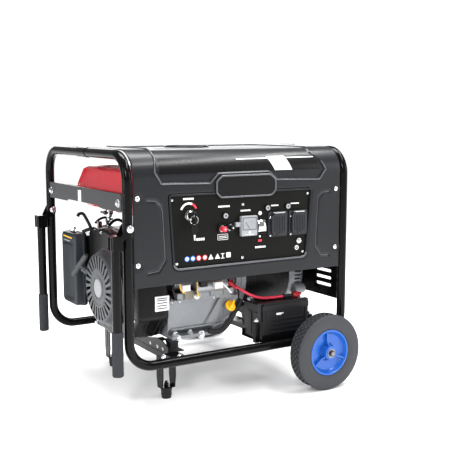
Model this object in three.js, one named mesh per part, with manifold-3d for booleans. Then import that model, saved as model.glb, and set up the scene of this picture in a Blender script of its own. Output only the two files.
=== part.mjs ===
// Portable petrol generator in an open tube frame, with two wheels, two feet and two
// fold-down handles. Millimetres, +Z up. The frame's left end has the handles and the
// recoil starter, its right end the alternator, and the control panel faces -Y.
//
// The pieces are laid out from the frame's front left corner: x = 0 and y = 0 are the
// centre lines of its uprights, and z = 0 is the centre of its bottom rails. The group
// that holds them all moves that corner, so that the model's own origin is on the floor
// under the middle of the machine.

import * as THREE from "three";
import { mergeVertices } from "three/addons/utils/BufferGeometryUtils.js";
import Module from "manifold-3d";

const wasm = await Module();
wasm.setup();

// Driving dimensions
const GAP = 0.3; // clearance between pieces that touch
const FRAME_LENGTH = 664; // between the uprights' centre lines
const FRAME_WIDTH = 537;
const FRAME_HEIGHT = 525.5;
const TUBE = 12.5; // radius of the frame tube
const FRAME_BEND = 65;
const RIDE_HEIGHT = 126; // bottom rails' centre above the floor
const WHEEL_RADIUS = 105;
const WHEEL_WIDTH = 50;
const WHEEL_X = 560;
const WHEEL_OUT = 62; // wheel's middle outside the upright's centre line
const AXLE_RADIUS = 8;
const AXLE_END = 100; // axle's end outside the upright's centre line
const FOOT_X = 150;
const FOOT_IN = 96; // foot inside the upright's centre line
const SHEET = 3;
const COVER_FACE = -5; // front face of the top cover
const COVER_BOTTOM = 200;
const COVER_RADIUS = 70;
const COVER_BACK = 430;
const COVER_TOP = FRAME_HEIGHT + TUBE;
const PANEL_FACE = COVER_FACE + SHEET + GAP; // front face of the control panel
const HANDLE_PIVOT_Z = 350;
const HANDLE_X = -31;
const GRIP_RADIUS = 14.25;
const CRANK_Y = 240;
const CRANK_Z = 160;
const CAP_X = 300;
const CAP_Y = 250;
const SOCKETS_X = [439, 505.5];
const SOCKET_Z = 333.5;
const BREAKERS = [[404.5, 378.5], [470.5, 379.5]];
const DC_BREAKER = [273.5, 365];
const KEY_SWITCH = [170, 372];
const MAIN_BREAKER = [389, 331.5];
const MAIN_BREAKER_TILT = THREE.MathUtils.degToRad(8);
const DIPSTICK_NECK = new THREE.Vector3(332, 69, 106); // mouth of the oil filler
const DIPSTICK_OUT = new THREE.Vector3(0.15, -0.78, 0.6).normalize();
const PULL_START = new THREE.Vector3(20, 368, 205); // middle of the starter grip
const PULL_OUT = new THREE.Vector3(-0.55, 0.495, 0.67).normalize();
const GRIP_BAR = new THREE.Vector3(0.25, -0.62, 0.74).normalize();
const OVERALL_LEFT = HANDLE_X - GRIP_RADIUS;
const OVERALL_RIGHT = FRAME_LENGTH + TUBE;

const generator = new THREE.Group();
generator.position.set(
  -(OVERALL_LEFT + OVERALL_RIGHT) / 2,
  -FRAME_WIDTH / 2,
  RIDE_HEIGHT,
);

const finishes = {
  frame: { color: 0x111112, roughness: 0.25, metalness: 0.1 },
  cover: { color: 0x46474c, roughness: 0.45, metalness: 0.2 },
  black: { color: 0x17181a, roughness: 0.5, metalness: 0 },
  grip: { color: 0x5f6266, roughness: 0.9, metalness: 0 },
  rubber: { color: 0x2a2b2d, roughness: 0.9, metalness: 0 },
  tyre: { color: 0x4a4b4d, roughness: 0.9, metalness: 0 },
  blue: { color: 0x286ee0, roughness: 0.4, metalness: 0 },
  red: { color: 0xc8202c, roughness: 0.25, metalness: 0.1 },
  cable: { color: 0xe13c50, roughness: 0.5, metalness: 0 },
  yellow: { color: 0xf5be1e, roughness: 0.4, metalness: 0 },
  zinc: { color: 0xb8bcc0, roughness: 0.35, metalness: 0.9 },
  aluminium: { color: 0x9a9ca0, roughness: 0.5, metalness: 0.8 },
  grey: { color: 0x787a7e, roughness: 0.5, metalness: 0.3 },
  steel: { color: 0x3a3a3c, roughness: 0.4, metalness: 0.7 },
};

function add(name, finish, geometry) {
  const mesh = new THREE.Mesh(geometry, new THREE.MeshStandardMaterial(finishes[finish]));
  mesh.name = name;
  generator.add(mesh);
  return mesh;
}

// Solids and booleans

function toSolid(geometry) {
  const bare = geometry.clone();
  bare.deleteAttribute("normal");
  bare.deleteAttribute("uv");
  const merged = mergeVertices(bare, 1e-3);
  const corners = merged.index.array;
  const kept = [];
  for (let i = 0; i < corners.length; i += 3) {
    const [a, b, c] = corners.slice(i, i + 3);
    if (a !== b && b !== c && c !== a) kept.push(a, b, c);
  }
  const vertProperties = new Float32Array(merged.attributes.position.array);
  const triVerts = new Uint32Array(kept);
  return new wasm.Manifold(new wasm.Mesh({ numProp: 3, vertProperties, triVerts }));
}

function toGeometry(solid) {
  const mesh = solid.getMesh();
  const geometry = new THREE.BufferGeometry();
  geometry.setAttribute("position", new THREE.BufferAttribute(mesh.vertProperties, 3));
  geometry.setIndex(new THREE.BufferAttribute(mesh.triVerts, 1));
  return geometry;
}

function join(...geometries) {
  return toGeometry(geometries.map(toSolid).reduce((whole, piece) => whole.add(piece)));
}

function cut(geometry, ...cutters) {
  return toGeometry(cutters.map(toSolid).reduce((rest, cutter) => rest.subtract(cutter), toSolid(geometry)));
}

// Basic shapes

function block([x0, x1], [y0, y1], [z0, z1]) {
  const geometry = new THREE.BoxGeometry(x1 - x0, y1 - y0, z1 - z0);
  return geometry.translate((x0 + x1) / 2, (y0 + y1) / 2, (z0 + z1) / 2);
}

// A block whose top is smaller than its base by inset on every side.
function taperedBlock(xs, ys, zs, inset) {
  const geometry = block(xs, ys, zs);
  const corners = geometry.attributes.position;
  const middleX = (xs[0] + xs[1]) / 2;
  const middleY = (ys[0] + ys[1]) / 2;
  for (let i = 0; i < corners.count; i += 1) {
    if (corners.getZ(i) < zs[1] - GAP) continue;
    corners.setX(i, corners.getX(i) - inset * Math.sign(corners.getX(i) - middleX));
    corners.setY(i, corners.getY(i) - inset * Math.sign(corners.getY(i) - middleY));
  }
  return geometry;
}

// A cylinder or cone between two points.
function rod(from, to, radius, sides = 24, endRadius = radius) {
  const start = new THREE.Vector3(...from);
  const end = new THREE.Vector3(...to);
  const along = end.clone().sub(start);
  const geometry = new THREE.CylinderGeometry(endRadius, radius, along.length(), sides);
  const turn = new THREE.Quaternion().setFromUnitVectors(
    new THREE.Vector3(0, 1, 0),
    along.clone().normalize(),
  );
  geometry.applyQuaternion(turn);
  return geometry.translate(...start.add(end).multiplyScalar(0.5));
}

// A profile of [radius, distance] points turned about an axis through a point.
const turnAxes = {
  x: (geometry) => geometry.rotateZ(-Math.PI / 2),
  y: (geometry) => geometry,
  z: (geometry) => geometry.rotateX(Math.PI / 2),
};

function turned(profile, axis, centre, sides = 32) {
  const points = profile.map(([radius, along]) => new THREE.Vector2(radius, along));
  return turnAxes[axis](new THREE.LatheGeometry(points, sides)).translate(...centre);
}

// An outline drawn in the plane across an axis, extruded from one place to another on it.
const drawnAcross = {
  x: [new THREE.Vector3(0, 1, 0), new THREE.Vector3(0, 0, 1), new THREE.Vector3(1, 0, 0)],
  y: [new THREE.Vector3(1, 0, 0), new THREE.Vector3(0, 0, 1), new THREE.Vector3(0, -1, 0)],
  z: [new THREE.Vector3(1, 0, 0), new THREE.Vector3(0, 1, 0), new THREE.Vector3(0, 0, 1)],
};

function prism(outline, axis, [from, to], curveSegments = 4) {
  const shape = Array.isArray(outline)
    ? new THREE.Shape(outline.map(([u, v]) => new THREE.Vector2(u, v)))
    : outline;
  const geometry = new THREE.ExtrudeGeometry(shape, {
    depth: to - from,
    bevelEnabled: false,
    curveSegments,
  });
  geometry.applyMatrix4(new THREE.Matrix4().makeBasis(...drawnAcross[axis]));
  const start = { x: [from, 0, 0], y: [0, to, 0], z: [0, 0, from] }[axis];
  return geometry.translate(...start);
}

// A polygon with its corners rounded to the radii listed with them: [u, v, radius].
function roundedOutline(corners) {
  const shape = new THREE.Shape();
  corners.forEach(([u, v, radius = 0], i) => {
    const corner = new THREE.Vector2(u, v);
    const before = new THREE.Vector2(...corners.at(i - 1).slice(0, 2));
    const after = new THREE.Vector2(...corners[(i + 1) % corners.length].slice(0, 2));
    const arrive = before.sub(corner).setLength(radius).add(corner);
    const leave = after.sub(corner).setLength(radius).add(corner);
    if (i === 0) shape.moveTo(arrive.x, arrive.y);
    else shape.lineTo(arrive.x, arrive.y);
    if (radius > 0) shape.quadraticCurveTo(corner.x, corner.y, leave.x, leave.y);
  });
  return shape;
}

function roundedRectangle([u0, u1], [v0, v1], radius) {
  return roundedOutline([[u0, v0, radius], [u1, v0, radius], [u1, v1, radius], [u0, v1, radius]]);
}

// Tubes that follow a list of points, one step to a point.

class PointPath extends THREE.Curve {
  constructor(points) {
    super();
    this.points = points;
  }

  getPointAt(u) {
    return this.points[Math.round(u * (this.points.length - 1))].clone();
  }

  getTangentAt(u) {
    const i = Math.round(u * (this.points.length - 1));
    const before = this.points[Math.max(i - 1, 0)];
    const after = this.points[Math.min(i + 1, this.points.length - 1)];
    return after.clone().sub(before).normalize();
  }
}

function circle(radius, sides) {
  const corners = [];
  for (let i = 0; i < sides; i += 1) {
    const angle = (i * 2 * Math.PI) / sides;
    corners.push(new THREE.Vector2(radius * Math.cos(angle), radius * Math.sin(angle)));
  }
  return new THREE.Shape(corners);
}

function tube(points, radius, sides) {
  return new THREE.ExtrudeGeometry(circle(radius, sides), {
    steps: points.length - 1,
    extrudePath: new PointPath(points),
    bevelEnabled: false,
  });
}

// Points of a route with a round bend at each square corner.
function bentRoute(corners, bend, stepsPerBend) {
  const route = [corners[0]];
  for (let i = 1; i < corners.length - 1; i += 1) {
    const arrive = corners[i].clone().sub(corners[i - 1]).normalize();
    const leave = corners[i + 1].clone().sub(corners[i]).normalize();
    const centre = corners[i].clone().addScaledVector(arrive, -bend).addScaledVector(leave, bend);
    for (let step = 0; step <= stepsPerBend; step += 1) {
      const angle = (step / stepsPerBend) * (Math.PI / 2);
      const point = centre.clone();
      point.addScaledVector(leave, -bend * Math.cos(angle));
      point.addScaledVector(arrive, bend * Math.sin(angle));
      route.push(point);
    }
  }
  route.push(corners.at(-1));
  return route;
}

function cableRoute(points, steps) {
  const curve = new THREE.CatmullRomCurve3(points.map((point) => new THREE.Vector3(...point)));
  return curve.getSpacedPoints(steps);
}

// Frame: two bent tubes that meet in the middle of the top cross tubes

function frameTube(name, side) {
  const y = side * FRAME_WIDTH;
  const joint = FRAME_WIDTH / 2 + (side - 0.5) * GAP;
  const corners = [
    new THREE.Vector3(0, joint, FRAME_HEIGHT),
    new THREE.Vector3(0, y, FRAME_HEIGHT),
    new THREE.Vector3(0, y, 0),
    new THREE.Vector3(FRAME_LENGTH, y, 0),
    new THREE.Vector3(FRAME_LENGTH, y, FRAME_HEIGHT),
    new THREE.Vector3(FRAME_LENGTH, joint, FRAME_HEIGHT),
  ];
  add(name, "frame", tube(bentRoute(corners, FRAME_BEND, 5), TUBE, 12));
}

frameTube("frame_tube_front", 0);
frameTube("frame_tube_rear", 1);

// Cross members, feet and axle

const MEMBER_TOP = 4;
const MEMBER_Y = [TUBE + GAP, FRAME_WIDTH - TUBE - GAP];

function channel(middle) {
  const outer = [middle - 20, middle + 20];
  const inner = [middle - 20 + SHEET, middle + 20 - SHEET];
  return cut(
    block(outer, MEMBER_Y, [-12, MEMBER_TOP]),
    block(inner, [0, FRAME_WIDTH], [-20, MEMBER_TOP - SHEET]),
  );
}

function leg(y) {
  const width = 18;
  const bottom = -RIDE_HEIGHT + 29;
  return cut(
    block([FOOT_X - 20, FOOT_X + 20], [y - width, y + width], [bottom, -10]),
    block([FOOT_X - 20 + SHEET, FOOT_X + 20 - SHEET], [y - 30, y + 30], [bottom + SHEET, 0]),
  );
}

const footYs = [FOOT_IN, FRAME_WIDTH - FOOT_IN];
add("cross_member_left", "frame", join(channel(FOOT_X), ...footYs.map(leg)));
add("cross_member_right", "frame", channel(500));

footYs.forEach((y, i) => {
  const top = -RIDE_HEIGHT + 29 - GAP;
  const foot = rod([FOOT_X, y, -RIDE_HEIGHT], [FOOT_X, y, top], 13, 20, 16);
  add(["rubber_foot_front", "rubber_foot_rear"][i], "rubber", foot);
});

const AXLE_Z = WHEEL_RADIUS - RIDE_HEIGHT;

function axle() {
  const ends = [-AXLE_END, FRAME_WIDTH + AXLE_END];
  const pieces = [rod([WHEEL_X, ends[0], AXLE_Z], [WHEEL_X, ends[1], AXLE_Z], AXLE_RADIUS, 16)];
  for (const y of [0, FRAME_WIDTH]) {
    pieces.push(block([WHEEL_X - 20, WHEEL_X + 20], [y - 10, y + 10], [AXLE_Z - 11, -TUBE - GAP]));
  }
  for (const [end, side] of [[ends[0], 1], [ends[1], -1]]) {
    pieces.push(rod([WHEEL_X, end + side * 2, AXLE_Z], [WHEEL_X, end + side * 9, AXLE_Z], 12, 6));
  }
  return join(...pieces);
}

add("axle", "steel", axle());

const RIM_RADIUS = 63.5;

function wheel(suffix, y) {
  const half = WHEEL_WIDTH / 2;
  const tyre = [
    [RIM_RADIUS + 2 * GAP, -21], [76, -half], [92, -half], [101, -half + 6], [WHEEL_RADIUS, -12],
    [WHEEL_RADIUS, 12], [101, half - 6], [92, half], [76, half], [RIM_RADIUS + 2 * GAP, 21],
    [RIM_RADIUS + 2 * GAP, -21],
  ];
  const bore = AXLE_RADIUS + 0.6;
  const rim = [
    [bore, -28], [18, -28], [18, -6], [52, -8], [58, -22], [RIM_RADIUS, -22],
    [RIM_RADIUS, 22], [58, 22], [52, 8], [18, 6], [18, 28], [bore, 28], [bore, -28],
  ];
  const hub = new THREE.Group();
  hub.position.set(WHEEL_X, y, AXLE_Z);
  generator.add(hub);
  hub.add(add(`tyre_${suffix}`, "tyre", turned(tyre, "y", [0, 0, 0], 32)));
  hub.add(add(`rim_${suffix}`, "blue", turned(rim, "y", [0, 0, 0], 24)));
}

wheel("front", -WHEEL_OUT);
wheel("rear", FRAME_WIDTH + WHEEL_OUT);

// Handles: a clevis round the upright, a tube that hangs down and a foam grip

const EAR_IN = TUBE + 0.5;
const EAR_OUT = EAR_IN + SHEET;
const COLLAR_Z = [-52, -16];

function handle(suffix, y) {
  const group = new THREE.Group();
  group.position.set(0, y, HANDLE_PIVOT_Z);
  generator.add(group);
  const ear = [
    [-7, 10, 4], [9, 9, 8], [9, -9, 8], [HANDLE_X + 12, COLLAR_Z[1] - 12],
    [HANDLE_X + 12, COLLAR_Z[0]], [HANDLE_X - 14, COLLAR_Z[0]], [HANDLE_X - 14, COLLAR_Z[1]],
  ];
  const pieces = [rod([HANDLE_X, 0, COLLAR_Z[0]], [HANDLE_X, 0, COLLAR_Z[1]], 14, 12)];
  for (const [inner, outer] of [[-EAR_OUT, -EAR_IN], [EAR_IN, EAR_OUT]]) {
    pieces.push(prism(roundedOutline(ear), "y", [inner, outer]));
  }
  pieces.push(block([HANDLE_X - 14, -TUBE - 4], [-EAR_OUT, EAR_OUT], [COLLAR_Z[1] - SHEET, COLLAR_Z[1]]));
  pieces.push(block([HANDLE_X - 10, HANDLE_X + 10], [-EAR_OUT, EAR_OUT], [COLLAR_Z[0], COLLAR_Z[0] + SHEET]));
  for (const side of [-1, 1]) {
    pieces.push(rod([0, side * (EAR_OUT - 1), 0], [0, side * (EAR_OUT + 5), 0], 6.5, 6));
  }
  const gripBottom = -14 - HANDLE_PIVOT_Z;
  pieces.push(rod([HANDLE_X, 0, gripBottom + 5], [HANDLE_X, 0, COLLAR_Z[0] + 1], 12, 12));
  group.add(add(`handle_${suffix}`, "frame", join(...pieces)));
  const bore = 12 + GAP;
  const grip = [
    [0, gripBottom], [12, gripBottom], [GRIP_RADIUS, gripBottom + 3], [GRIP_RADIUS, gripBottom + 110],
    [13.4, gripBottom + 112], [bore, gripBottom + 112], [bore, gripBottom + 5 - GAP],
    [0, gripBottom + 5 - GAP],
  ];
  group.add(add(`grip_${suffix}`, "grip", turned(grip, "z", [HANDLE_X, 0, 0], 12)));
}

handle("front", 0);
handle("rear", FRAME_WIDTH);

// Top cover: one bent sheet with an opening for the panel and one for the fuel cap

const COVER_X = [TUBE + GAP, FRAME_LENGTH - TUBE - GAP];
const PANEL_TOP = 424;
const PANEL_BOTTOM = 238;

function panelOutline(margin) {
  return roundedOutline([
    [112 - margin, PANEL_TOP + margin, 4], [124 - margin, PANEL_BOTTOM - margin, 16],
    [532 + margin, PANEL_BOTTOM - margin, 16], [550 + margin, PANEL_TOP + margin, 4],
  ]);
}

function topCover() {
  const centreY = COVER_FACE + COVER_RADIUS;
  const centreZ = COVER_TOP - COVER_RADIUS;
  const side = new THREE.Shape();
  side.moveTo(COVER_FACE, COVER_BOTTOM);
  side.lineTo(COVER_FACE, centreZ);
  side.absarc(centreY, centreZ, COVER_RADIUS, Math.PI, Math.PI / 2, true);
  side.lineTo(COVER_BACK, COVER_TOP);
  side.lineTo(COVER_BACK, COVER_TOP - 14);
  side.lineTo(COVER_BACK - SHEET, COVER_TOP - 14);
  side.lineTo(COVER_BACK - SHEET, COVER_TOP - SHEET);
  side.absarc(centreY, centreZ, COVER_RADIUS - SHEET, Math.PI / 2, Math.PI, false);
  side.lineTo(COVER_FACE + SHEET, COVER_BOTTOM + SHEET);
  side.lineTo(10, COVER_BOTTOM + SHEET);
  side.lineTo(10, COVER_BOTTOM);
  return cut(
    prism(side, "x", COVER_X),
    prism(panelOutline(0), "y", [COVER_FACE - 5, COVER_FACE + SHEET + 1]),
    rod([CAP_X, CAP_Y, COVER_TOP - 20], [CAP_X, CAP_Y, COVER_TOP + 5], 60, 32),
  );
}

add("top_cover", "cover", topCover());

// Control panel and what is on it

const SOCKET_BARREL = 23;
const BUTTON_RADIUS = 5.5;

function controlPanel() {
  const plate = prism(panelOutline(8), "y", [PANEL_FACE, PANEL_FACE + SHEET]);
  const buttons = [DC_BREAKER, ...BREAKERS];
  const bosses = buttons.map(([x, z]) => rod([x, PANEL_FACE - 4, z], [x, PANEL_FACE + 9, z], 9, 16));
  bosses.push(rod([509.5, PANEL_FACE - 10, 283], [509.5, PANEL_FACE + 1, 283], 6, 6));
  const holes = buttons.map(([x, z]) => rod([x, -20, z], [x, 20, z], BUTTON_RADIUS + 0.5, 12));
  const [keyX, keyZ] = KEY_SWITCH;
  holes.push(rod([keyX, -20, keyZ], [keyX, 20, keyZ], 9.5, 16));
  for (const x of SOCKETS_X) {
    holes.push(rod([x, -20, SOCKET_Z], [x, 20, SOCKET_Z], SOCKET_BARREL + 0.8, 20));
  }
  const [breakerX, breakerZ] = MAIN_BREAKER;
  holes.push(block([breakerX - 14, breakerX + 14], [-20, 20], [breakerZ - 20, breakerZ + 20]));
  return cut(join(plate, ...bosses), ...holes);
}

add("control_panel", "black", controlPanel());

const ON_PANEL = PANEL_FACE - GAP;

function ignitionSwitch() {
  const [x, z] = KEY_SWITCH;
  return join(
    rod([x, ON_PANEL - 7, z], [x, ON_PANEL, z], 13, 16),
    rod([x, ON_PANEL - 1, z], [x, 28, z], 9, 16),
  );
}

add("ignition_switch", "zinc", ignitionSwitch());

function ignitionKey() {
  const [x, z] = KEY_SWITCH;
  const front = ON_PANEL - 7 - GAP;
  const bow = roundedRectangle([front - 24, front - 6], [z - 11, z + 11], 6);
  const shank = block([x - 1.1, x + 1.1], [front - 8, front], [z - 3.5, z + 3.5]);
  return join(prism(bow, "x", [x - 1.1, x + 1.1]), shank);
}

add("ignition_key", "zinc", ignitionKey());

function breakerButton([x, z]) {
  return rod([x, PANEL_FACE - 7, z], [x, PANEL_FACE + 8, z], BUTTON_RADIUS, 12);
}

add("dc_breaker_button", "grey", breakerButton(DC_BREAKER));
add("socket_breaker_left", "grey", breakerButton(BREAKERS[0]));
add("socket_breaker_right", "grey", breakerButton(BREAKERS[1]));

function dcTerminals() {
  const base = prism(roundedRectangle([251, 299], [321, 345], 8), "y", [ON_PANEL - 3, ON_PANEL]);
  const posts = [[263, 332], [287, 334]].map(([x, z]) => join(
    rod([x, ON_PANEL - 8, z], [x, ON_PANEL - 1, z], 4, 16),
    rod([x, ON_PANEL - 20, z], [x, ON_PANEL - 7, z], 7, 16),
  ));
  return join(base, ...posts);
}

add("dc_terminals", "red", dcTerminals());
const meterOutline = roundedRectangle([318.5, 367.5], [308.5, 361.5], 4);
add("voltmeter", "grey", prism(meterOutline, "y", [ON_PANEL - 11, ON_PANEL]));

// Rocker of the main breaker, pressed in at the top when it is on.
function mainBreaker() {
  const [x, z] = MAIN_BREAKER;
  const side = new THREE.Shape();
  side.moveTo(4, -17);
  side.lineTo(4, 17);
  side.lineTo(-3, 18);
  side.quadraticCurveTo(-12, 14, -12, 0);
  side.quadraticCurveTo(-12, -14, -3, -18);
  const rocker = prism(side, "x", [-13, 13], 5);
  return rocker.rotateX(-MAIN_BREAKER_TILT).translate(x, 0, z);
}

add("main_breaker_rocker", "zinc", mainBreaker());

const SOCKET_FACE = ON_PANEL - 7;
const FLAP_PIVOT_Y = SOCKET_FACE - 0.3;
const FLAP_PIVOT_Z = SOCKET_Z + 31;

function socket(x) {
  const flange = prism(roundedRectangle([x - 31, x + 31], [SOCKET_Z - 34, SOCKET_Z + 34], 6), "y", [
    ON_PANEL - SHEET,
    ON_PANEL,
  ]);
  const barrel = rod([x, SOCKET_FACE, SOCKET_Z], [x, 14, SOCKET_Z], SOCKET_BARREL, 20);
  const cavity = rod([x, SOCKET_FACE - 5, SOCKET_Z], [x, 11, SOCKET_Z], SOCKET_BARREL - 3.5, 20);
  return cut(join(flange, barrel), cavity);
}

function socketFlap(x) {
  const plate = roundedRectangle([x - 24, x + 24], [SOCKET_Z - 30, FLAP_PIVOT_Z], 12);
  return join(
    prism(plate, "y", [SOCKET_FACE - 3.5, SOCKET_FACE - GAP]),
    rod([x - 16, FLAP_PIVOT_Y, FLAP_PIVOT_Z], [x + 16, FLAP_PIVOT_Y, FLAP_PIVOT_Z], 3.5, 12),
  );
}

SOCKETS_X.forEach((x, i) => {
  const side = ["left", "right"][i];
  add(`socket_${side}`, "black", socket(x));
  add(`socket_flap_${side}`, "black", socketFlap(x));
});

// Fuel tank: a hollow shell on a flange, carried by a bracket at each end

const FLANGE_Z = [424, 428];
const TANK_X = [40, 624];
const TANK_Y = [36, 427];
const TANK_TOP = 480;
const TAP = [100, 340];
const TANK_BOTTOM = 372;

function tankSkin(inset) {
  const xs = [TANK_X[0] + inset, TANK_X[1] - inset];
  const ys = [TANK_Y[0] + inset, TANK_Y[1] - inset];
  const lower = block(
    [58 + inset, 606 - inset],
    [55 + inset, 410 - inset],
    [TANK_BOTTOM + inset, FLANGE_Z[1] + inset],
  );
  const upper = taperedBlock(xs, ys, [FLANGE_Z[0] + 1 + inset, TANK_TOP - inset / 2], 22);
  const crown = taperedBlock(
    [xs[0] + 22, xs[1] - 22],
    [ys[0] + 22, ys[1] - 22],
    [TANK_TOP - inset / 2 - 1, TANK_TOP + 12 - inset],
    60,
  );
  return join(lower, upper, crown);
}

function fuelTank() {
  const flange = prism(roundedRectangle([34, 630], [30, 433], 10), "z", FLANGE_Z);
  const tabs = [[34, 64], [600, 630]].map((xs) => block(xs, [400, 508], FLANGE_Z));
  const neck = rod([CAP_X, CAP_Y, TANK_TOP], [CAP_X, CAP_Y, 505], 26);
  const tap = rod([TAP[0], TAP[1], TANK_BOTTOM - 32], [TAP[0], TAP[1], TANK_BOTTOM + 1], 9, 16);
  const outside = join(tankSkin(0), flange, ...tabs, neck, tap);
  const mouth = rod([CAP_X, CAP_Y, TANK_TOP - 20], [CAP_X, CAP_Y, 510], 22);
  return cut(outside, tankSkin(2.5), mouth);
}

add("fuel_tank", "red", fuelTank());

function fuelCap() {
  const cap = [[0, 0], [36, 0], [38, 3], [38, 20], [33, 26], [0, 26]];
  return turned(cap, "z", [CAP_X, CAP_Y, 505 + GAP], 24);
}

add("fuel_cap", "black", fuelCap());

function tapLever() {
  const [x, y] = TAP;
  const front = x - 9 - GAP;
  const z = TANK_BOTTOM - 20;
  return join(
    rod([front - 6, y, z], [front, y, z], 6, 16),
    block([front - 6, front - 2], [y - 3, y + 26], [z - 3, z + 3]),
  );
}

add("fuel_tap_lever", "steel", tapLever());

const SHELF_Z = [FLANGE_Z[0] - GAP - SHEET, FLANGE_Z[0] - GAP];
const BRACKET_Y = [17, 520];

function tankBracket(plate, shelf) {
  return join(block(plate, BRACKET_Y, [387, 432]), block(shelf, BRACKET_Y, SHELF_Z));
}

add("tank_bracket_left", "cover", tankBracket([-8, -8 + SHEET], [-8 + SHEET - 1, 50]));
const right = FRAME_LENGTH + 8;
add("tank_bracket_right", "cover", tankBracket([right - SHEET, right], [614, right - SHEET + 1]));

// End guard with louvre slots

function endGuard() {
  const plate = block([662.5, 665.5], [TUBE + GAP, FRAME_WIDTH - TUBE - GAP], [100, 415]);
  const slots = [];
  for (let row = 0; row < 6; row += 1) {
    for (let column = 0; column < 3; column += 1) {
      const y = 45 + column * 190;
      const z = 130 + row * 21;
      slots.push(block([650, 680], [y, y + 67], [z, z + 8]));
    }
  }
  return cut(plate, ...slots);
}

add("end_guard", "black", endGuard());

// Engine

const CRANKCASE_X = [150, 372];
const BASE_Z = [37, 45];

function crankcase() {
  const side = [
    [84, 60], [100, 38], [330, 38], [345, 60], [345, 235], [190, 235], [182, 150], [86, 140],
  ];
  const mouth = DIPSTICK_NECK;
  const root = mouth.clone().addScaledVector(DIPSTICK_OUT, -40);
  const bottom = mouth.clone().addScaledVector(DIPSTICK_OUT, -90);
  const past = mouth.clone().addScaledVector(DIPSTICK_OUT, 5);
  const whole = join(
    prism(side, "x", CRANKCASE_X),
    block([150, 366], [62, 362], BASE_Z),
    rod(root.toArray(), mouth.toArray(), 12, 20),
  );
  const inside = block([CRANKCASE_X[0] + 10, CRANKCASE_X[1] - 10], [115, 335], [56, 225]);
  const step = block([CRANKCASE_X[0], CRANKCASE_X[1]], [115, 192], [140, 230]);
  return cut(
    whole,
    cut(inside, step),
    rod([100, CRANK_Y, CRANK_Z], [400, CRANK_Y, CRANK_Z], 17.5, 20),
    rod(bottom.toArray(), past.toArray(), 8, 12),
  );
}

add("crankcase", "aluminium", crankcase());

function dipstick() {
  const at = (distance) => DIPSTICK_NECK.clone().addScaledVector(DIPSTICK_OUT, distance).toArray();
  const wing = block([-14, 14], [-3, 3], [-3, 11]);
  const turn = new THREE.Quaternion().setFromUnitVectors(new THREE.Vector3(0, 0, 1), DIPSTICK_OUT);
  wing.applyQuaternion(turn).translate(...at(GAP + 8));
  return join(rod(at(GAP), at(GAP + 8), 14, 20), rod(at(-75), at(GAP + 1), 3, 10), wing);
}

add("dipstick", "yellow", dipstick());

function cylinderHead() {
  const side = [[345.3, 112], [507, 187], [455, 300], [345.3, 248]];
  const body = prism(side, "x", [168, 318]);
  const slots = [];
  for (let i = 0; i < 5; i += 1) {
    const y = 360 + i * 15;
    slots.push(prism([[y, 240], [y + 7, 243], [y - 25, 330], [y - 32, 330]], "x", [150, 330]));
  }
  return cut(body, ...slots);
}

add("cylinder_head", "aluminium", cylinderHead());

const SHROUD_X = [58 + GAP, 148];

function fanShroud() {
  const side = roundedOutline([
    [68, 95, 25], [120, 40, 30], [240, 18, 40], [330, 35, 30], [385, 90, 30],
    [400, 300, 20], [300, 318, 20], [150, 300, 30], [80, 240, 25],
  ]);
  return cut(
    prism(side, "x", SHROUD_X),
    rod([SHROUD_X[0] + 3, CRANK_Y, CRANK_Z], [136, CRANK_Y, CRANK_Z], 118, 32),
    rod([50, CRANK_Y, CRANK_Z], [80, CRANK_Y, CRANK_Z], 98, 32),
    rod([120, CRANK_Y, CRANK_Z], [160, CRANK_Y, CRANK_Z], 34),
  );
}

add("fan_shroud", "black", fanShroud());

const RECOIL_FACE = 31;
const RECOIL_RADIUS = 94;
const RECOIL_SLOTS = 26;

function recoilCover() {
  const profile = [
    [0, 0], [88, 0], [RECOIL_RADIUS, 3], [104, 27], [100.5, 27], [91, 5], [86, 2.5], [0, 2.5],
  ];
  const cup = turned(profile, "x", [RECOIL_FACE, CRANK_Y, CRANK_Z], RECOIL_SLOTS);
  const slots = [];
  for (let i = 0; i < RECOIL_SLOTS; i += 1) {
    const slot = prism([[-2.2, 50], [2.2, 50], [4, 82], [-4, 82]], "x", [-5, 8]);
    slot.rotateX((i * 2 * Math.PI) / RECOIL_SLOTS);
    slots.push(slot.translate(RECOIL_FACE, CRANK_Y, CRANK_Z));
  }
  const outer = PULL_START.clone().addScaledVector(PULL_OUT, -12);
  const inner = PULL_START.clone().addScaledVector(PULL_OUT, -52);
  return join(cut(cup, ...slots), rod(inner.toArray(), outer.toArray(), 9, 12, 7.5));
}

add("recoil_cover", "grey", recoilCover());

const PULLEY_RADIUS = 45;
const pulley = [
  [0, 38], [PULLEY_RADIUS + 4, 38], [PULLEY_RADIUS + 4, 40], [PULLEY_RADIUS, 41],
  [PULLEY_RADIUS, 47], [PULLEY_RADIUS + 4, 48], [PULLEY_RADIUS + 4, 50], [0, 50],
];
add("recoil_pulley", "black", turned(pulley, "x", [0, CRANK_Y, CRANK_Z], 20));

function recoilGrip() {
  const half = 42;
  const inward = PULL_START.clone().addScaledVector(PULL_OUT, -12 + GAP);
  return join(
    rod(
      PULL_START.clone().addScaledVector(GRIP_BAR, -half).toArray(),
      PULL_START.clone().addScaledVector(GRIP_BAR, half).toArray(),
      8.5,
      16,
    ),
    rod(inward.toArray(), PULL_START.toArray(), 6, 12),
  );
}

add("recoil_grip", "grip", recoilGrip());

// Crankshaft, flywheel and alternator rotor turn as one piece.
const shaft = [
  [0, 60], [24, 60], [24, 84], [112, 84], [112, 114], [30, 114], [30, 120], [15, 120],
  [15, 432], [62, 432], [62, 572], [12, 572], [12, 598], [0, 598],
];
add("crankshaft", "steel", turned(shaft, "x", [0, CRANK_Y, CRANK_Z], 20));

// Intake: air filter box, carburettor and its choke lever

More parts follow.
